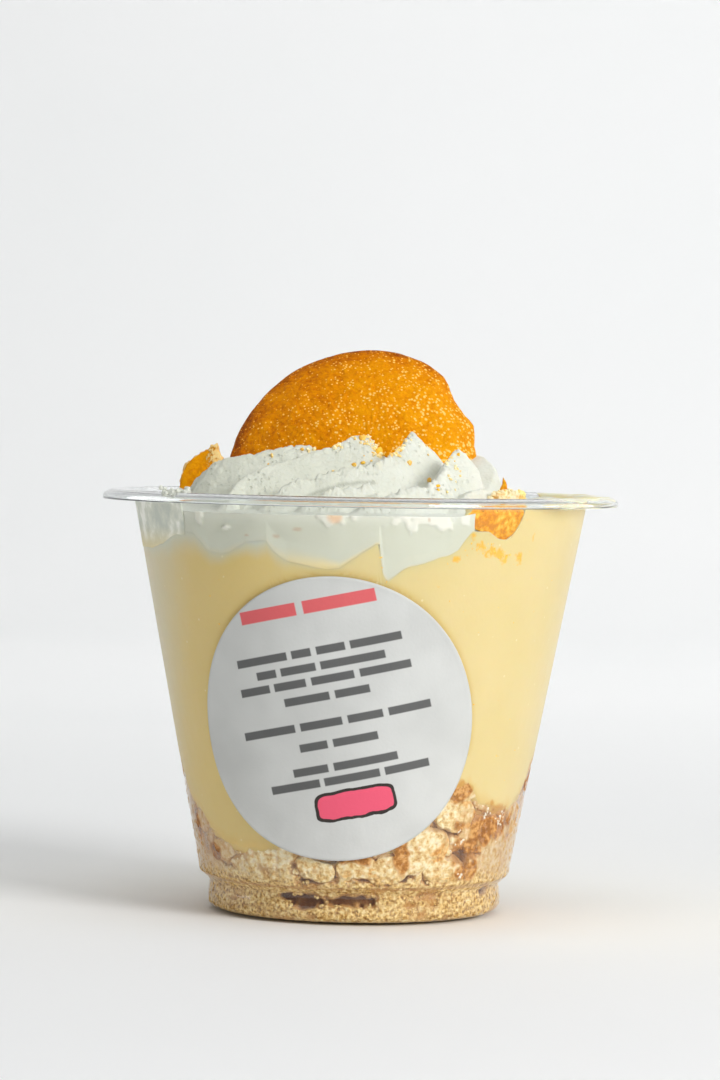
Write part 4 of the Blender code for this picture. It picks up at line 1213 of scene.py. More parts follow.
rows.insert(-1, on_circle(foot, angles, line + 0.00006))
rows.append(on_circle(foot - 0.0005, angles, line - 0.00020))
for share in (0.98, 0.9, 0.7, 0.4, 0.0):
    rows.append(on_circle(share * foot, angles, under_cream(share, angles) - 0.0010))
rows = np.array(rows)
on_wall = np.arange(len(rows))[:, None] >= CREAM_RINGS - 1
below_brim = ((0, len(rows) - CREAM_RINGS), (0, 0))
cream = turned_piece(
    "whipped_cream_swirl",
    rows,
    film=np.maximum(cream_share(rows), 1 - on_wall),
    shadow=np.pad(shadow, below_brim),
    torn=np.pad(torn, below_brim),
    behind=on_wall * fading(rows[..., 2] - brim + 0.0002, 0.0004),
    pressed=inside_ovals(rows, PRESSES, 0.6, 0.9, seed=75) * on_wall,
    ticks=inside_ovals(rows, TICKS, 0.8, 0.5, seed=74) * on_wall,
    stained=inside_ovals(rows, STAINS, 1.0, 0.5, seed=73) * on_wall,
)

# %% The cream's finish
look = Look(
    "whipped_cream",
    Subsurface_Weight=0.35,
    Subsurface_Radius=(1.0, 0.9, 0.75),
    Subsurface_Scale=0.0015,
    Specular_IOR_Level=0.35,
)
soft = look.noise(0.0016, detail=4, rough=0.6)
broad = look.noise(0.009, detail=2)
behind, pressed = look.kept("behind"), look.kept("pressed")
look.colour = look.ramp(broad, (0.3, 220, 222, 208), (0.7, 234, 235, 224))
# Painted shade: the left side, turned away from the key lamp, is greyer.
look.paint(0.6 * look.axis("X").between(0.014, -0.008), srgb(202, 204, 188))
look.paint(0.25 * look.noise(0.006, detail=3).between(0.66, 0.78), srgb(240, 226, 176))
# Painted shade: cream that stands back behind the plastic takes the shaded colour, less of it near the brim,
# and where it presses on the wall it is painted lighter.
look.paint(behind * (1 - pressed), CREAM_IN_SHADE)
high = (look.axis("Z") + 0.0016 * broad).between(0.0706, 0.0730)
look.paint(0.5 * behind * high, srgb(232, 233, 220))
touching = (pressed + 1.3 * (look.noise(0.0015, detail=4) - 0.5)).between(0.25, 0.95)
look.paint(0.42 * touching, srgb(246, 244, 230))
look.colour = look.mix(faded(look), PUDDING_COLOUR, look.colour)
look.paint(0.50 * look.kept("stained"), srgb(244, 180, 110))
look.paint(0.40 * look.kept("ticks"), srgb(196, 150, 104))
look.paint(0.50 * look.kept("shadow"), srgb(120, 124, 106))
# Painted shade in the pores of the torn cream.
pores = look.grains(0.0011).between(0.30, 0.16) * look.kept("torn")
look.paint(0.22 * pores, srgb(150, 152, 134))
relief = soft + 0.6 * look.noise(0.0006, detail=3) - 0.7 * pores
look.finish(0.45 + 0.25 * soft, relief * (1 - 0.9 * behind), 0.00026)
place_on_cup(cream, look, "whipped_cream")

# %% [markdown]
# ## Cream smeared on the free wall
#
# At the left the swirl stands away from the wall, and the plastic there carries a thin skin of
# cream. A see-through mask on the wall would do, but it draws a dark edge where the plastic and
# the mask lie on each other. So the skin is a thin closed sheet: its foot follows the pudding's
# line and its upper edge wanders up and down. It runs out towards the back and ends in the
# cream in front.

# %% A skin of cream
FILM_FROM, FILM_TO, FILM_COLUMNS, FILM_ROWS = -200, -140, 110, 20
FILM_TOP, FILM_THICK, FILM_LAPS, FILM_PROUD = 0.0738, 0.00010, 0.0005, 0.00006
turn = np.radians(np.linspace(FILM_FROM, FILM_TO, FILM_COLUMNS))[:, None]
climb = np.linspace(0, 1, FILM_ROWS)
foot = pudding_line(turn) - FILM_LAPS
share = (np.degrees(turn) - FILM_FROM) / (FILM_TO - FILM_FROM)
uneven = noise(on_circle(0.04, turn, 0.07), 0.0045, 81, 3)
climbs = (FILM_TOP - foot) * np.clip(share / 0.3 + 0.35 * uneven, 0.05, 1)
heights = foot + climbs * np.r_[climb, climb[::-1]]
thick = FILM_THICK * np.repeat([0, 1], FILM_ROWS)
rows = on_circle(wall_radius(heights) + INTO_WALL + FILM_PROUD - thick, turn, heights)
film = turned_piece("cream_film", rows[:, ::-1])
look = Look("cream_film", Specular_IOR_Level=0.3)
streak = look.noise(0.0034, detail=4)
look.colour = look.ramp(streak, (0.38, 208, 213, 200), (0.52, 230, 232, 216), (0.60, 255, 255, 244))
rise = look.axis("Z") + 0.003 * streak
look.paint(rise.between(0.0712, 0.0664), srgb(232, 219, 172))
look.finish(0.5 + 0.3 * streak, look.noise(0.0016, detail=3), 0.00003)
place_on_cup(film, look, "whipped_cream")

# %% [markdown]
# ## The whole wafer
#
# A vanilla wafer is a thick drop of batter that spread in the oven: a round with a domed top
# and a thin edge, here flattened at its right. The dome is a turned profile, made
# out of round by a table. Its skin is sandy: grains of sugar under a millimetre lie in a glaze
# that browned towards the rim. The coarse lumps are relief on the mesh, and the single grains of
# sugar are in the finish, painted pale together with the glints they catch, denser where the skin
# is golden.

# %% The dome
WAFER_R = 0.0243
WAFER_PROFILE = (
    (0.0, 0.0092), (0.25, 0.0089), (0.50, 0.0079), (0.70, 0.0064), (0.86, 0.0046), (0.96, 0.0030),
    (1.0, 0.0017), (0.985, 0.0006), (0.945, 0.0), (0.55, 0.0002), (0.0, 0.0004),
)
WAFER_EDGE_Z = 0.0017
WAFER_OUTLINE = (
    (-180, 1.012), (-120, 0.995), (-60, 0.970), (-20, 0.885), (0, 0.855), (16, 0.866), (22, 0.900),
    (26, 0.924), (29, 0.918), (32, 0.903), (37, 0.904), (42, 0.914), (46, 0.938), (49, 0.970),
    (53, 0.999), (61, 1.012), (75, 1.020), (91, 1.000), (105, 0.986), (120, 0.978), (143, 0.970),
    (160, 0.986), (174, 1.010),
)
WAFER_COLUMNS, WAFER_ROWS = 420, 160
WAFER_BEND, BEND_POINTS = 0.0012, 7  # how far a corner of the profile is cut back
LUMPS, SKIN, SUGAR = 0.00026, 0.00014, 0.00018  # how high the relief is, from broad to fine
RIM_FROM = 0.72  # where the browner rim starts, as a share of the radius
WAFER_LEAN = 22  # degrees, backwards
WAFER_PLACE = (0.0003, 0.0020, 0.0788)
profile = rounded([(share * WAFER_R, height) for share, height in WAFER_PROFILE], WAFER_BEND, BEND_POINTS)
steps = np.linspace(0, 1, WAFER_ROWS)[:, None]
length = np.r_[0, np.cumsum(np.hypot(*np.diff(profile, axis=0).T))]
radius, height = (np.interp(steps * length[-1], length, axis) for axis in profile.T)
angles = all_round(WAFER_COLUMNS)
outline = round_table(WAFER_OUTLINE, angles) + 0.006 * wander(angles, 0.005, 81)
radius = radius * (1 - (1 - outline) * (radius / WAFER_R) ** 2)
rows = on_circle(radius, angles, height - WAFER_EDGE_Z)
relief = LUMPS * noise(rows, 0.006, 83, 2) + SKIN * noise(rows, 0.0014, 84, 3)
dome = (steps < 0.5) + 0 * angles
rows[..., 2] += (relief + SUGAR * fading(cells(rows, 0.0011, seed=82), 0.55)) * dome
rim = np.clip((radius / WAFER_R - RIM_FROM) / (1 - RIM_FROM), 0, 1)
lower_right = np.clip(0.55 + (0.60 * rows[..., 0] - 0.44 * rows[..., 1]) / WAFER_R, 0, 1)
wafer = turned_piece("vanilla_wafer_whole", rows, rim=rim, dome=dome, golden=lower_right)
lean = Matrix.Rotation(math.radians(90 - WAFER_LEAN), 4, "X")
wafer.matrix_world = Matrix.Translation(WAFER_PLACE) @ lean


# %% Baked crust
def crust_look(name, golden, pale, sugar=None):
    """Baked skin: golden where golden is high and brown where it is low, pale crumb where pale is."""
    look = Look(name, Specular_IOR_Level=0.06)
    sand = look.noise(0.0007, detail=5, rough=0.65)
    patches = look.noise(0.0040, detail=3)
    look.colour = look.ramp(
        golden(look, patches) + 0.9 * sand + 0.3 * look.noise(0.0016, detail=2) - 0.60,
        (0.15, 152, 70, 0), (0.38, 204, 112, 0), (0.60, 228, 140, 0), (0.85, 240, 160, 4),
    )
    shown = pale(look, sand)
    look.paint(shown, look.ramp(sand, (0.30, 248, 180, 76), (0.55, 255, 222, 150)))
    # Sugar grains, painted pale, which also stand for the glints that they catch: a painted highlight.
    if sugar:
        grain_and_glint = sugar(look, sand)
        look.paint(grain_and_glint.between(0.0, 0.5), look.ramp(grain_and_glint, (0.25, 244, 162, 18), (0.95, 255, 208, 112)))
    look.finish(0.5 + 0.3 * sand, sand + 0.4 * shown, 0.00035)
    return look


def sugar_grains_and_glints(look, sand):
    """Pale grains of sugar in the glaze, with their glints painted in as paler colour, more of them where the
    skin is golden.
    """
    many = 0.33 + 0.22 * look.kept("golden") + 0.50 * (look.noise(0.0030, detail=2) - 0.5)
    return (many - look.grains(0.00070) + 0.50 * (sand - 0.5)).between(0.0, 0.34) * look.kept("dome")


look = crust_look(
    "baked_wafer",
    lambda look, patches: 0.30 + 0.30 * look.kept("golden") + 0.50 * patches - 0.42 * look.kept("rim") ** 3,
    lambda look, sand: (1 - look.kept("dome")) * 0.4,
    sugar_grains_and_glints,
)
place_on_cup(wafer, look, "vanilla_wafer")

# %% [markdown]
# ## The broken wafer pieces
#
# Two fragments stand beside the cream. Their solids have the right outline, so each is copied,
# remeshed into small even faces and then roughened. The baked face stays smooth and
# golden, and the broken faces are porous and pale. The right one is pressed against the wall
# and the pudding has run round its edges, so its sides take the pudding's colour.


# %% Fragments from their solids
VOXEL = 0.00025  # how fine the copies are
PITS, PIT_SIZE = 0.0002, 0.0011
BROKEN_AT, LEFT_OVER = 0.0748, 0.03  # the height where the right piece is broken off, and what stands on
UNDER_RIM = 0.0736
PRESSED_AT, SPREAD = math.radians(-55), 1.07  # the middle of what presses on the wall, and how it widens


def pressed_on_wall(points):
    """The right piece's points: broken off at the rim, with the outer side flat on the wall."""
    points[:, 2] -= (1 - LEFT_OVER) * np.clip(points[:, 2] - BROKEN_AT, 0, 1)
    radius, angle = polar(points)
    gap = wall_radius(points[:, 2]) + INTO_WALL - 0.0002 - radius
    under_rim = np.clip((UNDER_RIM - points[:, 2]) / 0.0008, 0, 1)
    radius = radius + gap * np.clip(1.6 - gap / 0.0012, 0, 1) * under_rim
    return on_circle(radius, PRESSED_AT + SPREAD * (angle - PRESSED_AT), points[:, 2])


def broken_piece(name, node, facing, bend=None):
    """A fine rough copy of a fragment's solid. facing is the way that its baked face looks."""
    piece = bpy.data.objects.new(name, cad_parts[node].data.copy())
    bpy.context.scene.collection.objects.link(piece)
    remesh = piece.modifiers.new("even", "REMESH")
    remesh.mode = "VOXEL"
    remesh.voxel_size = VOXEL
    depsgraph = bpy.context.evaluated_depsgraph_get()
    mesh = bpy.data.meshes.new_from_object(piece.evaluated_get(depsgraph))
    piece.data = mesh
    piece.modifiers.clear()
    points = np.array([vert.co[:] for vert in mesh.vertices])
    normals = np.array([normal.vector[:] for normal in mesh.vertex_normals])
    baked = np.clip((normals @ np.array(facing) - 0.45) / 0.3, 0, 1)
    rough = 0.00035 * noise(points, 0.0010, 91, 2) - PITS * fading(cells(points, PIT_SIZE, seed=90), 0.4)
    fine = 0.00012 * noise(points, 0.0009, 92, 2)
    points = points + normals * (rough * (1 - baked) + fine * baked)[:, None]
    if bend:
        points = bend(points)
    mesh.vertices.foreach_set("co", points.ravel())
    mesh.attributes.new("baked", "FLOAT", "POINT").data.foreach_set("value", baked)
    mesh.polygons.foreach_set("use_smooth", np.ones(len(mesh.polygons), bool))
    mesh.update()
    print(f"{name}: {len(points)} points")
    return piece


# %% The left piece
TORN_FROM, TORN_TO = -0.0285, -0.0262  # where it broke through and shows its pale crumb, across


def pale_sides(look, sand):
    """1 on the broken faces and at the torn right end."""
    torn = (look.axis("X") + 0.006 * (sand - 0.5)).between(TORN_FROM, TORN_TO)
    return (1 - look.kept("baked") + sand * 0.6 - 0.3 + torn).between(0.25, 0.75)


left = broken_piece("wafer_fragment_left", "wafer_piece_left", (0, -0.98, 0.2))
look = crust_look("broken_wafer", lambda look, patches: 0.45 + 0.60 * patches, pale_sides)
place_on_cup(left, look, "wafer_piece_left")

# %% The right piece
right = broken_piece("wafer_fragment_right", "wafer_piece_right", (0.56, -0.82, -0.10), pressed_on_wall)
wet_look = Look("soaked_wafer", Specular_IOR_Level=0.2, Subsurface_Weight=0.3, Subsurface_Scale=0.003)
sand = wet_look.noise(0.0009, detail=4, rough=0.6)
patches = wet_look.noise(0.0035, detail=3)
wet_look.colour = wet_look.ramp(
    sand + 0.7 * patches - 0.35, (0.34, 222, 138, 6), (0.50, 244, 168, 20), (0.66, 255, 204, 84)
)
edge = (1 - wet_look.kept("baked") + 0.9 * patches + 0.5 * sand - 0.7).between(0.05, 0.75)
wet_look.paint(edge * wet_look.axis("Z").between(0.0746, 0.0738), PUDDING_COLOUR)
wet_look.paint(0.6 * wet_look.grains(0.0016).between(0.12, 0.07), srgb(120, 70, 14))
wet_look.finish(0.45 + 0.3 * sand, sand, 0.0002)
place_on_cup(right, wet_look, "wafer_piece_right")

# %% [markdown]
# ## What looks over the rim
#
# Beside the right piece a thin shard of wafer and a low heap of pale crumb look over the rim. The
# shard is a flat spindle. Its tip is where the line of sight through its pixel meets an upright
# plane at the shard's own depth, and it hangs down from there. The crumbs are dented balls, a few
# large ones listed one by one and the rest by chance.

# %% The shard
SHARD_TIP = (504, 477)  # the pixel of its tip
SHARD_Y, SHARD_LONG, SHARD_WIDE = -0.0268, 0.0045, 0.0024
SHARD_ROWS, SHARD_COLUMNS = 26, 44
aim = sight(*SHARD_TIP)
tip = np.array(EYE + aim * ((SHARD_Y - EYE.y) / aim.y))
down = np.linspace(0, 1, SHARD_ROWS)[:, None]
turn = all_round(SHARD_COLUMNS)
half = SHARD_WIDE / 2 * down**0.7 * (down < 1)
rows = tip + np.stack([half * np.cos(turn), 0.5 * half * np.sin(turn), -SHARD_LONG * down + 0 * turn], -1)
rows[1:-1] += (0.00025 * noise(rows, 0.0012, 46, 2))[1:-1, :, None] * (1, 1, 0)
shard = turned_piece("wafer_shard", rows, baked=np.ones(rows.shape[:2]))
place_on_cup(shard, wet_look, "wafer_piece_right")

# %% Pale crumbs
HEAP_X, HEAP_Y, HEAP_WIDE, HEAP_FOOT, HEAP_TOP = 0.0256, -0.0275, 0.0030, 0.0747, 0.0768
# The large ones: across and back from the heap's middle, height and size
LARGE_CRUMBS = (
    (-0.0016, -0.0004, 0.0755, 0.0028), (0.0003, 0.0, 0.0756, 0.0024),
    (0.0024, 0.0008, 0.0760, 0.0022), (-0.0028, -0.0008, 0.0750, 0.0020),
)
SMALL_CRUMBS = 60
rng = np.random.default_rng(41)
lumps = [(HEAP_X + across, HEAP_Y + back, height, size) for across, back, height, size in LARGE_CRUMBS]
for _ in range(SMALL_CRUMBS):
    share = rng.uniform(-1, 1)
    x, y = HEAP_X + HEAP_WIDE * share, HEAP_Y + 0.0008 * share + rng.normal(0, 0.0005)
    tall = HEAP_TOP - 0.0009 * share**2 - HEAP_FOOT
    lumps.append((x, y, HEAP_FOOT + tall * rng.uniform(0, 1) ** 0.7, rng.uniform(0.0007, 0.0015)))
lumps = np.array(lumps)
golden = (lumps[:, 0] > HEAP_X + 0.0016).astype(float)
pale_crumbs = scattered(
    "pale_crumbs", lumps[:, :3], lumps[:, 3], rng, rounds=3, rough=0.02, lumpy=0.45, flat=0.55, golden=golden
)
look = Look("pale_crumb", Specular_IOR_Level=0.2)
shade = look.noise(0.0011, detail=4)
look.colour = look.ramp(shade, (0.34, 240, 196, 110), (0.46, 250, 234, 184), (0.66, 254, 248, 220))
look.paint(0.7 * look.kept("golden"), srgb(255, 226, 130))
look.finish(0.6 + 0.3 * shade, shade, 0.0002)
place_on_cup(pale_crumbs, look, "wafer_piece_right")

# %% [markdown]
# ## Pudding on the rim
#
# Where the pudding was pushed up at the right, the spoon left a smear of it on the flat rim. It
# is a long low strip: small rings of points stand side by side along a line that runs round
# the rim, and each is flattened on to the rim's own profile.

# %% The smear
SMEAR_FROM, SMEAR_TO = -43, 40  # degrees
SMEAR_R, SMEAR_HALF, SMEAR_HIGH, SMEAR_SUNK = 0.0432, 0.0026, 0.00056, 0.00006
SMEAR_STATIONS, SMEAR_RING = 160, 24
RIM_PROFILE = ((0.0405, 0.0733), (0.0413, 0.0745), (0.0426, 0.0750), (0.0449, 0.0750), (0.0457, 0.0747))
stations = np.linspace(0, 1, SMEAR_STATIONS)[:, None]
turn = np.radians(SMEAR_FROM + (SMEAR_TO - SMEAR_FROM) * stations)
round_it = all_round(SMEAR_RING)
ends = np.clip(np.minimum(stations, 1 - stations) / 0.12, 0, 1) ** 0.5
on_rim = on_circle(0.043, turn, 0.0)
middle = SMEAR_R + 0.0005 * noise(on_rim, 0.006, 43)
wide = SMEAR_HALF * ends * (1 + 0.15 * noise(on_rim, 0.004, 44, 2))
radius = middle + wide * np.cos(round_it)
lumpy = np.clip(SMEAR_HIGH * (1.0 + 0.35 * noise(on_circle(radius, turn, 0.0), 0.009, 45, 2)), 0.0001, 1)
upper = np.maximum(np.sin(round_it), 0)
thick = np.where(upper > 0, upper**0.6 * lumpy, -SMEAR_SUNK)
rows = on_circle(radius, turn, np.interp(radius, *zip(*RIM_PROFILE)) + thick * ends)
smear = turned_piece("pudding_smear", rows[:, ::-1])
look = Look("smeared_pudding", Subsurface_Weight=0.3, Subsurface_Scale=0.002, Specular_IOR_Level=0.3)
shade = look.noise(0.006, detail=4)
look.colour = look.ramp(shade, (0.40, 226, 226, 196), (0.56, 238, 228, 158))
look.finish(0.45 + 0.2 * shade, look.noise(0.0018, detail=3), 0.0002)
place_on_cup(smear, look, "pudding")

# %% [markdown]
# ## The label
#
# A round paper sticker is bent round the cone of the wall. It is a polar grid: each point
# has a place across and up on the flat paper, and is rolled on to the cone from there. A little
# unevenness gives the wrinkles that paper gets on a curved cup. Its print is drawn as plain
# bars and one badge, with no lettering: the shader reads each point's place on the flat
# paper, which is kept as a UV map.

# %% Roll the paper on to the cup
LABEL_OFF, PAPER = 0.00008, 0.00014  # how far the paper is off the wall, and how thick it is
LABEL_RINGS, LABEL_SPOKES = 60, 200
EDGE_FROM, EDGE_LIFT = 0.96, 0.00010  # where the paper's edge starts to lift, and how far
FLAT_SCALE = 10  # the flat paper is kept as a UV map, with 10 to the metre
PRINT_TILT = math.radians(12.0)
# Creases that the paper has: middle across and up, length, width and depth in mm, and degrees
CREASES = (
    (-10.5, -12.5, 9.0, 1.2, 0.10, 62), (-13.0, -9.0, 6.0, 1.0, 0.07, 70), (4.5, -20.5, 5.0, 1.0, 0.08, 100),
    (14.5, -13.0, 6.0, 1.1, 0.07, 35), (-17.5, 8.0, 7.0, 1.3, 0.07, 80), (9.0, 18.0, 8.0, 1.6, 0.06, 10),
    (-3.0, -22.0, 5.0, 0.9, 0.07, 80),
)
share = (np.arange(LABEL_RINGS + 1) / LABEL_RINGS)[:, None]
spoke = all_round(LABEL_SPOKES)
across, up = LABEL_R * share * np.cos(spoke), LABEL_R * share * np.sin(spoke)
centre_r = WALL_FOOT[0] + SLOPE * (LABEL_HEIGHT - WALL_FOOT[1]) + WALL * math.hypot(1, SLOPE)
height = LABEL_HEIGHT + up / math.hypot(1, SLOPE)
cone_r = centre_r + SLOPE * (height - LABEL_HEIGHT)
flat = np.stack([across, up, 0 * across], -1)
crease = 0.00003 * noise(flat * (1, 0.3, 1), 0.003, 95, 2) + 0.00005 * noise(flat, 0.010, 96)
for middle_x, middle_y, long, wide, deep, degrees in CREASES:
    turn = math.radians(degrees)
    away_x, away_y = across * 1000 - middle_x, up * 1000 - middle_y
    bend = 0.8 * np.sin(away_y * 0.7 + away_x * 0.4)
    off = (away_y * math.cos(turn) - away_x * math.sin(turn) + 0.3 * bend) / wide
    run = (away_x * math.cos(turn) + away_y * math.sin(turn)) / long
    crease = crease + deep / 1000 * np.exp(-2 * off**2) * fading((2 * run) ** 2, 1)
lift = LABEL_OFF + np.clip(crease, -0.00006, 1)
lift = lift + EDGE_LIFT * np.clip((share - EDGE_FROM) / (1 - EDGE_FROM), 0, 1)
rows = on_circle(cone_r + lift, LABEL_ANGLE + across / cone_r, height)
points = np.vstack([rows[1:].reshape(-1, 3), rows[0].mean(0)])
faces = grid_faces(LABEL_RINGS, LABEL_SPOKES).tolist() + fan(len(points) - 1, 0, LABEL_SPOKES)
label = new_piece("round_label", points, faces)
flat_points = np.vstack([flat[1:].reshape(-1, 3), [[0, 0, 0]]])[:, :2]
cosine, sine = math.cos(PRINT_TILT), math.sin(PRINT_TILT)
turned_flat = flat_points @ np.array([[cosine, -sine], [sine, cosine]])
uv = label.data.uv_layers.new(name="flat")
corners = np.array([loop.vertex_index for loop in label.data.loops])
uv.data.foreach_set("uv", (turned_flat[corners] * FLAT_SCALE + 0.5).ravel())
paper = label.modifiers.new("paper", "SOLIDIFY")
paper.thickness = PAPER
paper.offset = 1.0

# %% [markdown]
# The bars stand for printed lines. Each line is a row of words: a list of starts and ends
# across the paper. A bar is the product of two smooth steps, one across and one up, and
# the highest of all bars is the ink. The badge is a bar with a wobbling outline.

# %% Print and paper
# A printed line: its height on the paper, the bars' height, and the words' starts and ends, mm
HEADING = (20.4, 2.3, ((-12.9, -2.2), (-0.9, 12.0)))
LINES = (
    (12.5, 1.45, ((-15.5, -5.6), (-4.7, -1.2), (-0.2, 4.9), (5.8, 14.9))),
    (9.8, 1.45, ((-12.0, -8.2), (-7.3, -0.9), (0.0, 11.4))),
    (7.3, 1.45, ((-15.9, -10.0), (-9.1, -3.2), (-2.2, 5.4), (6.4, 15.5))),
    (4.35, 1.45, ((-7.8, 0.4), (1.4, 7.5))),
    (-0.4, 1.45, ((-16.9, -6.9), (-5.9, 1.6), (2.6, 8.8), (9.8, 17.5))),
    (-4.1, 1.45, ((-6.8, -1.8), (-0.8, 7.1))),
    (-8.3, 1.45, ((-8.9, -2.6), (-1.6, 9.7))),
    (-10.7, 1.45, ((-13.6, -4.6), (-3.8, 6.0), (6.9, 15.0))),
)
SOFT = 0.12  # how soft a bar's edge is, mm
BADGE_LEFT, BADGE_RIGHT, BADGE_MIDDLE, BADGE_TALL = -6.4, 7.9, -15.3, 5.6
BADGE_FRAME = 0.55  # width of the badge's dark outline
TO_MM = 1000 / FLAT_SCALE
label_look = Look("label_paper", Specular_IOR_Level=0.35)
flat_uv = label_look.node("UVMap", {"uv_map": "flat"})["UV"]
axes = label_look.node("SeparateXYZ", None, {0: flat_uv})
print_x, print_y = (axes["X"] - 0.5) * TO_MM, (axes["Y"] - 0.5) * TO_MM


def bar(x, y, left, right, middle, tall):
    """A filled bar with soft edges: 1 inside and 0 outside."""
    wide = ((right - left) / 2 - abs(x - (left + right) / 2)).between(-SOFT, SOFT)
    high = (tall / 2 - abs(y - middle)).between(-SOFT, SOFT)
    return wide * high


def words(lines):
    """The ink of printed lines: 1 on a word and 0 between them."""
    bars = [
        bar(print_x, print_y, left, right, middle, tall)
        for middle, tall, spans in lines
        for left, right in spans
    ]
    return functools.reduce(Number.highest, bars)


def badge(grow):
    """A plain rounded badge whose outline wobbles, larger by grow on each side."""
    wobble = label_look.noise(0.0028, detail=2)
    across = abs(print_x - (BADGE_LEFT + BADGE_RIGHT) / 2) / ((BADGE_RIGHT - BADGE_LEFT) / 2 + grow)
    upward = abs(print_y - BADGE_MIDDLE + 0.8 * (wobble - 0.5)) / (BADGE_TALL / 2 + grow)
    return (1 - across**5 - upward**5 + 0.5 * (wobble - 0.5)).between(0.0, 0.09)


fibre = label_look.noise(0.0007, detail=4)
mottle = label_look.noise(0.012, detail=2)
label_look.colour = label_look.ramp(mottle, (0.35, 202, 203, 200), (0.65, 212, 213, 210))
label_look.paint(0.86 * words([HEADING]), srgb(226, 62, 70))
label_look.paint(0.84 * words(LINES), srgb(40, 40, 42))
label_look.paint(badge(0.0), srgb(52, 46, 42))
label_look.paint(badge(-BADGE_FRAME), srgb(238, 92, 120))
label_look.finish(0.5 + 0.2 * fibre, fibre, 0.00004)
place_on_cup(label, label_look, "label")

# %% [markdown]
# ## Crumbs on the cream
#
# A pinch of golden crumbs fell on the cream when the wafer was stood in it. Those in front go
# where their line of sight meets the cream, and a few more lie at the back. Each is a flat
# flake, pressed a little into what it lies on: deep golden where it is crust, and pale where
# it is crumb. A few small clots of cream lie on the rim itself, in front at the left.

# %% Golden crumbs
# In the photo: pixel across, pixel down, size in mm, and how pale
SEEN_CRUMBS = (
    (378, 452, 2.0, 0.0), (382, 455, 1.3, 0.3), (373, 449, 1.2, 0.6), (388, 451, 1.2, 0.7),
    (386, 456, 1.1, 0.2), (399, 446, 1.1, 0.1), (394, 451, 1.1, 0.5), (362, 438, 1.2, 0.3),
    (366, 437, 0.9, 0.5), (334, 445, 1.1, 0.6), (330, 445, 0.8, 0.5), (354, 465, 1.0, 0.3),
    (363, 463, 0.9, 0.2), (371, 461, 0.7, 0.5), (409, 463, 1.1, 0.4), (429, 481, 1.3, 0.4),
    (438, 486, 0.8, 0.0), (438, 490, 0.7, 0.0), (448, 455, 1.3, 0.4), (444, 463, 0.8, 0.1),
    (458, 455, 1.1, 0.2), (405, 437, 1.4, 1.0), (400, 438, 1.1, 0.7), (426, 446, 0.6, 0.6),
    (428, 455, 0.6, 0.6), (272, 456, 0.9, 0.5), (314, 450, 0.9, 0.8), (455, 469, 0.7, 0.7),
    (364, 456, 0.4, 0.3), (333, 471, 0.5, 0.7), (268, 464, 0.4, 0.4), (460, 476, 0.6, 0.8),
    (455, 490, 0.6, 0.8), (447, 492, 0.6, 0.8),
)
# Where fine flakes are strewn between them: pixel across and down, spread in pixels, and how many
STREWN = (
    (385, 453, 6, 2.0, 60), (397, 448, 4, 2.5, 34), (371, 443, 4, 3, 24), (334, 445, 4, 1.2, 20),
    (404, 437, 3, 3.5, 30), (447, 456, 3, 3, 12), (457, 474, 3, 6, 7), (362, 437, 4, 1.2, 10),
    (312, 450, 4, 1.0, 6),
)
# At the back, seen from above: across, back and size in mm
BACK_CRUMBS = ((-6, 19, 1.4), (5, 23, 1.2), (-18, 14, 1.0), (12, 20, 0.8), (-2, 25, 0.8), (20, 12, 0.9))
SEEN_LIFT, BACK_LIFT = 0.08, 0.12  # how far a crumb's middle is above the cream, as a share of its size
ABOVE_ALL = 0.2  # a height above the whole cup, to look down from
rng = np.random.default_rng(31)
seen = list(SEEN_CRUMBS)
for pixel_x, pixel_y, wide, tall, count in STREWN:
    for _ in range(count):
        place = rng.normal(pixel_x, wide), rng.normal(pixel_y, tall)
        seen.append((*place, rng.uniform(0.45, 0.95), rng.uniform(0.35, 1.0)))
bpy.context.view_layer.update()
places = []
for pixel_x, pixel_y, size, pale in seen:
    hit, spot, normal, _ = cream.ray_cast(EYE, sight(pixel_x, pixel_y))
    if hit:
        places.append((*(spot + normal * SEEN_LIFT * size / 1000), size / 1000, pale))
for x, y, size in BACK_CRUMBS:
    hit, spot, normal, _ = cream.ray_cast((x / 1000, y / 1000, ABOVE_ALL), (0, 0, -1))
    if hit:
        places.append((*(spot + normal * BACK_LIFT * size / 1000), size / 1000, rng.uniform(0, 1)))
places = np.array(places)
sizes, pale = places[:, 3], places[:, 4]
top_crumbs = scattered(
    "golden_crumbs", places[:, :3], sizes, rng, rounds=2, rough=0.06, lumpy=0.30, flat=0.5, pale=pale
)
look = Look("golden_crumb", Specular_IOR_Level=0.1)
shade = look.noise(0.0009, detail=3)
look.colour = look.ramp(shade, (0.35, 250, 172, 20), (0.6, 255, 210, 84))
crumb = look.ramp(shade, (0.35, 252, 226, 150), (0.6, 255, 244, 204))
look.paint(look.kept("pale").between(0.1, 0.9), crumb)
look.finish(0.6 + 0.3 * shade, shade, 0.0001)
place_on_cup(top_crumbs, look, "whipped_cream")

# %% Clots on the rim
CLOTS, CLOT_COUNT, CLOT_SPREAD = (-0.0318, -0.0300, 0.0754), 26, (0.0013, 0.0007, 0.0003)
CLOT_LOW, CLOT_HIGH = 0.0750, 0.0762
lumps = np.array(CLOTS) + rng.normal(0, 1, (CLOT_COUNT, 3)) * CLOT_SPREAD
lumps[:, 2] = np.clip(lumps[:, 2], CLOT_LOW, CLOT_HIGH)
sizes = rng.uniform(0.0006, 0.0014, CLOT_COUNT)
clots = scattered("cream_clots", lumps, sizes, rng, rounds=2, rough=0.05, lumpy=0.3)
look = plain_look("cream_clot", 0.0010, 0.2, 0.5, 0.3, 0.0001, (0.35, 196, 198, 188), (0.6, 226, 228, 216))
place_on_cup(clots, look, "whipped_cream")

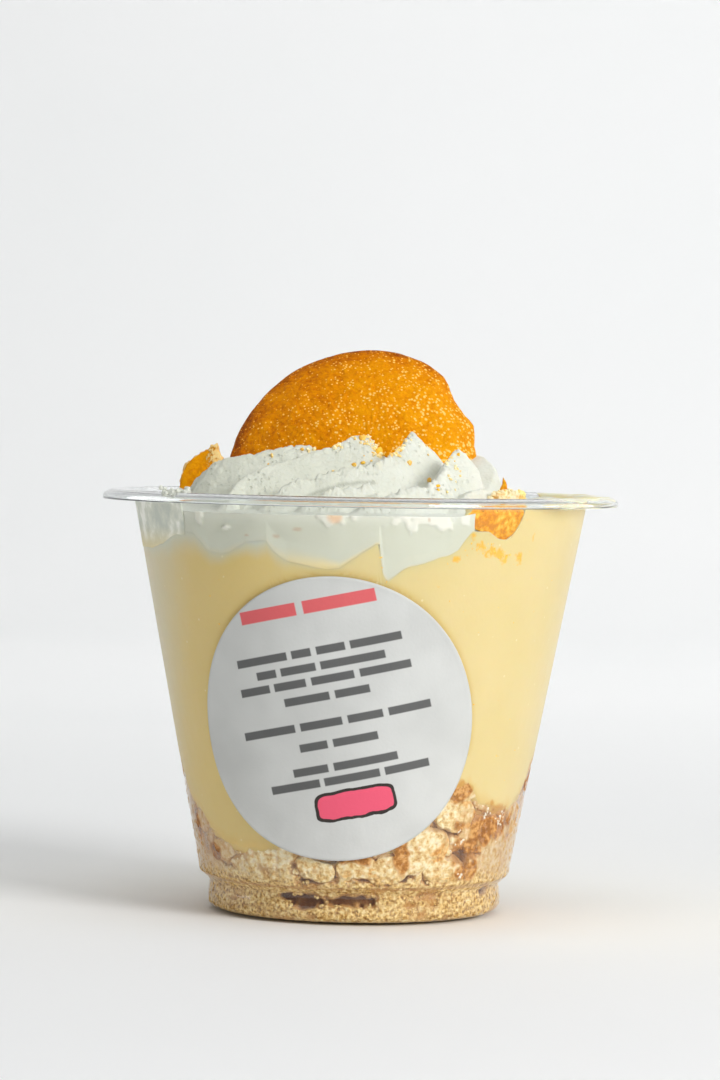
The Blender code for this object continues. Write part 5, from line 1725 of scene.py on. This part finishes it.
# %% [markdown]
# ## Floor, light and camera
#
# The photo was taken on a white sweep: a sheet that runs up behind the cup without a
# corner. A soft lamp stands at the right and in front, so the left side and the floor at the left
# are shaded. The camera stands 74 cm away, a little above the rim, and looks slightly down.

# %% The sweep
SWEEP_X, SWEEP_FRONT, SWEEP_BACK, SWEEP_BEND, SWEEP_TOP = 3.0, -1.6, 0.9, 0.7, 2.4
bend = [
    (SWEEP_BACK + SWEEP_BEND * math.sin(angle), SWEEP_BEND * (1 - math.cos(angle)))
    for angle in np.linspace(0, math.pi / 2, 24)
]
path = [(SWEEP_FRONT, 0.0)] + bend + [(SWEEP_BACK + SWEEP_BEND, SWEEP_TOP)]
rows = np.array([[(x, y, z) for x in np.linspace(-SWEEP_X, SWEEP_X, 5)] for y, z in path])
sweep = new_piece("sweep", rows.reshape(-1, 3), grid_faces(len(path), 5, closed=False)[:, ::-1])
sweep_look = Look("white_sweep", Roughness=0.7, Specular_IOR_Level=0.2)
white = sweep_look.ramp(sweep_look.noise(0.4, detail=3), (0.3, 243, 244, 244), (0.7, 247, 247, 247))
sweep_look.set(Base_Color=white)
sweep.data.materials.append(sweep_look.material)
sweep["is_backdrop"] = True


# %% Lamps
def lamp(name, place, aim, size, power):
    """A flat soft lamp that shines at a point, with its width and height in metres."""
    data = bpy.data.lights.new(name, "AREA")
    data.shape = "RECTANGLE"
    data.size, data.size_y = size
    data.energy = power
    made = bpy.data.objects.new(name, data)
    bpy.context.scene.collection.objects.link(made)
    made.location = place
    made.rotation_euler = (Vector(aim) - Vector(place)).to_track_quat("-Z", "Y").to_euler()
    return made


lamp("key", (0.74, -0.76, 0.52), (0, 0, 0.05), (0.45, 0.45), 9.2)
fill = lamp("fill", (-1.0, -0.55, 0.22), (0, 0, 0.08), (0.8, 0.4), 0.6)
overhead = lamp("overhead", (0.1, -0.3, 1.6), (0, 0, 0), (1.2, 1.2), 7.6)
backdrop = lamp("backdrop", (0.4, 0.55, 0.9), (0.4, 1.5, 0.15), (1.4, 0.5), 6.1)
for unseen in (fill, overhead, backdrop):
    unseen.visible_glossy = unseen.visible_transmission = False  # none is mirrored in the rim
for side in (-1, 1):
    card = lamp("card", (side * 1.6, 0.5, 0.5), (0, 0, 0.05), (1.2, 1.4), 14.0)
    card.visible_diffuse = False  # it is only seen mirrored in the plastic
world = bpy.data.worlds.new("studio")
world.use_nodes = True
world.node_tree.nodes["Background"].inputs["Color"].default_value = (0.98, 1.0, 1.0, 1.0)
world.node_tree.nodes["Background"].inputs["Strength"].default_value = 0.275
bpy.context.scene.world = world
bpy.context.scene.view_settings.view_transform = "Standard"
print("lamps:", ", ".join(light.name for light in bpy.data.lights))

# %% The camera
SENSOR = 36.0
camera_data = bpy.data.cameras.new("camera")
camera_data.sensor_width = SENSOR
camera_data.lens = FOCAL_PIXELS / PHOTO_HEIGHT * SENSOR
camera_data.clip_start, camera_data.clip_end = 0.01, 20.0
camera = bpy.data.objects.new("camera", camera_data)
bpy.context.scene.collection.objects.link(camera)
turn = Matrix((right_axis, up_axis, -forward)).transposed().to_4x4()
camera.matrix_world = Matrix.Translation(EYE) @ turn
bpy.context.scene.camera = camera
print("lens", round(camera_data.lens, 1), "mm")

# %% The size of what is seen
low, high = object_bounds()
print("visual box:", [round(v, 4) for v in (*low, *high)])
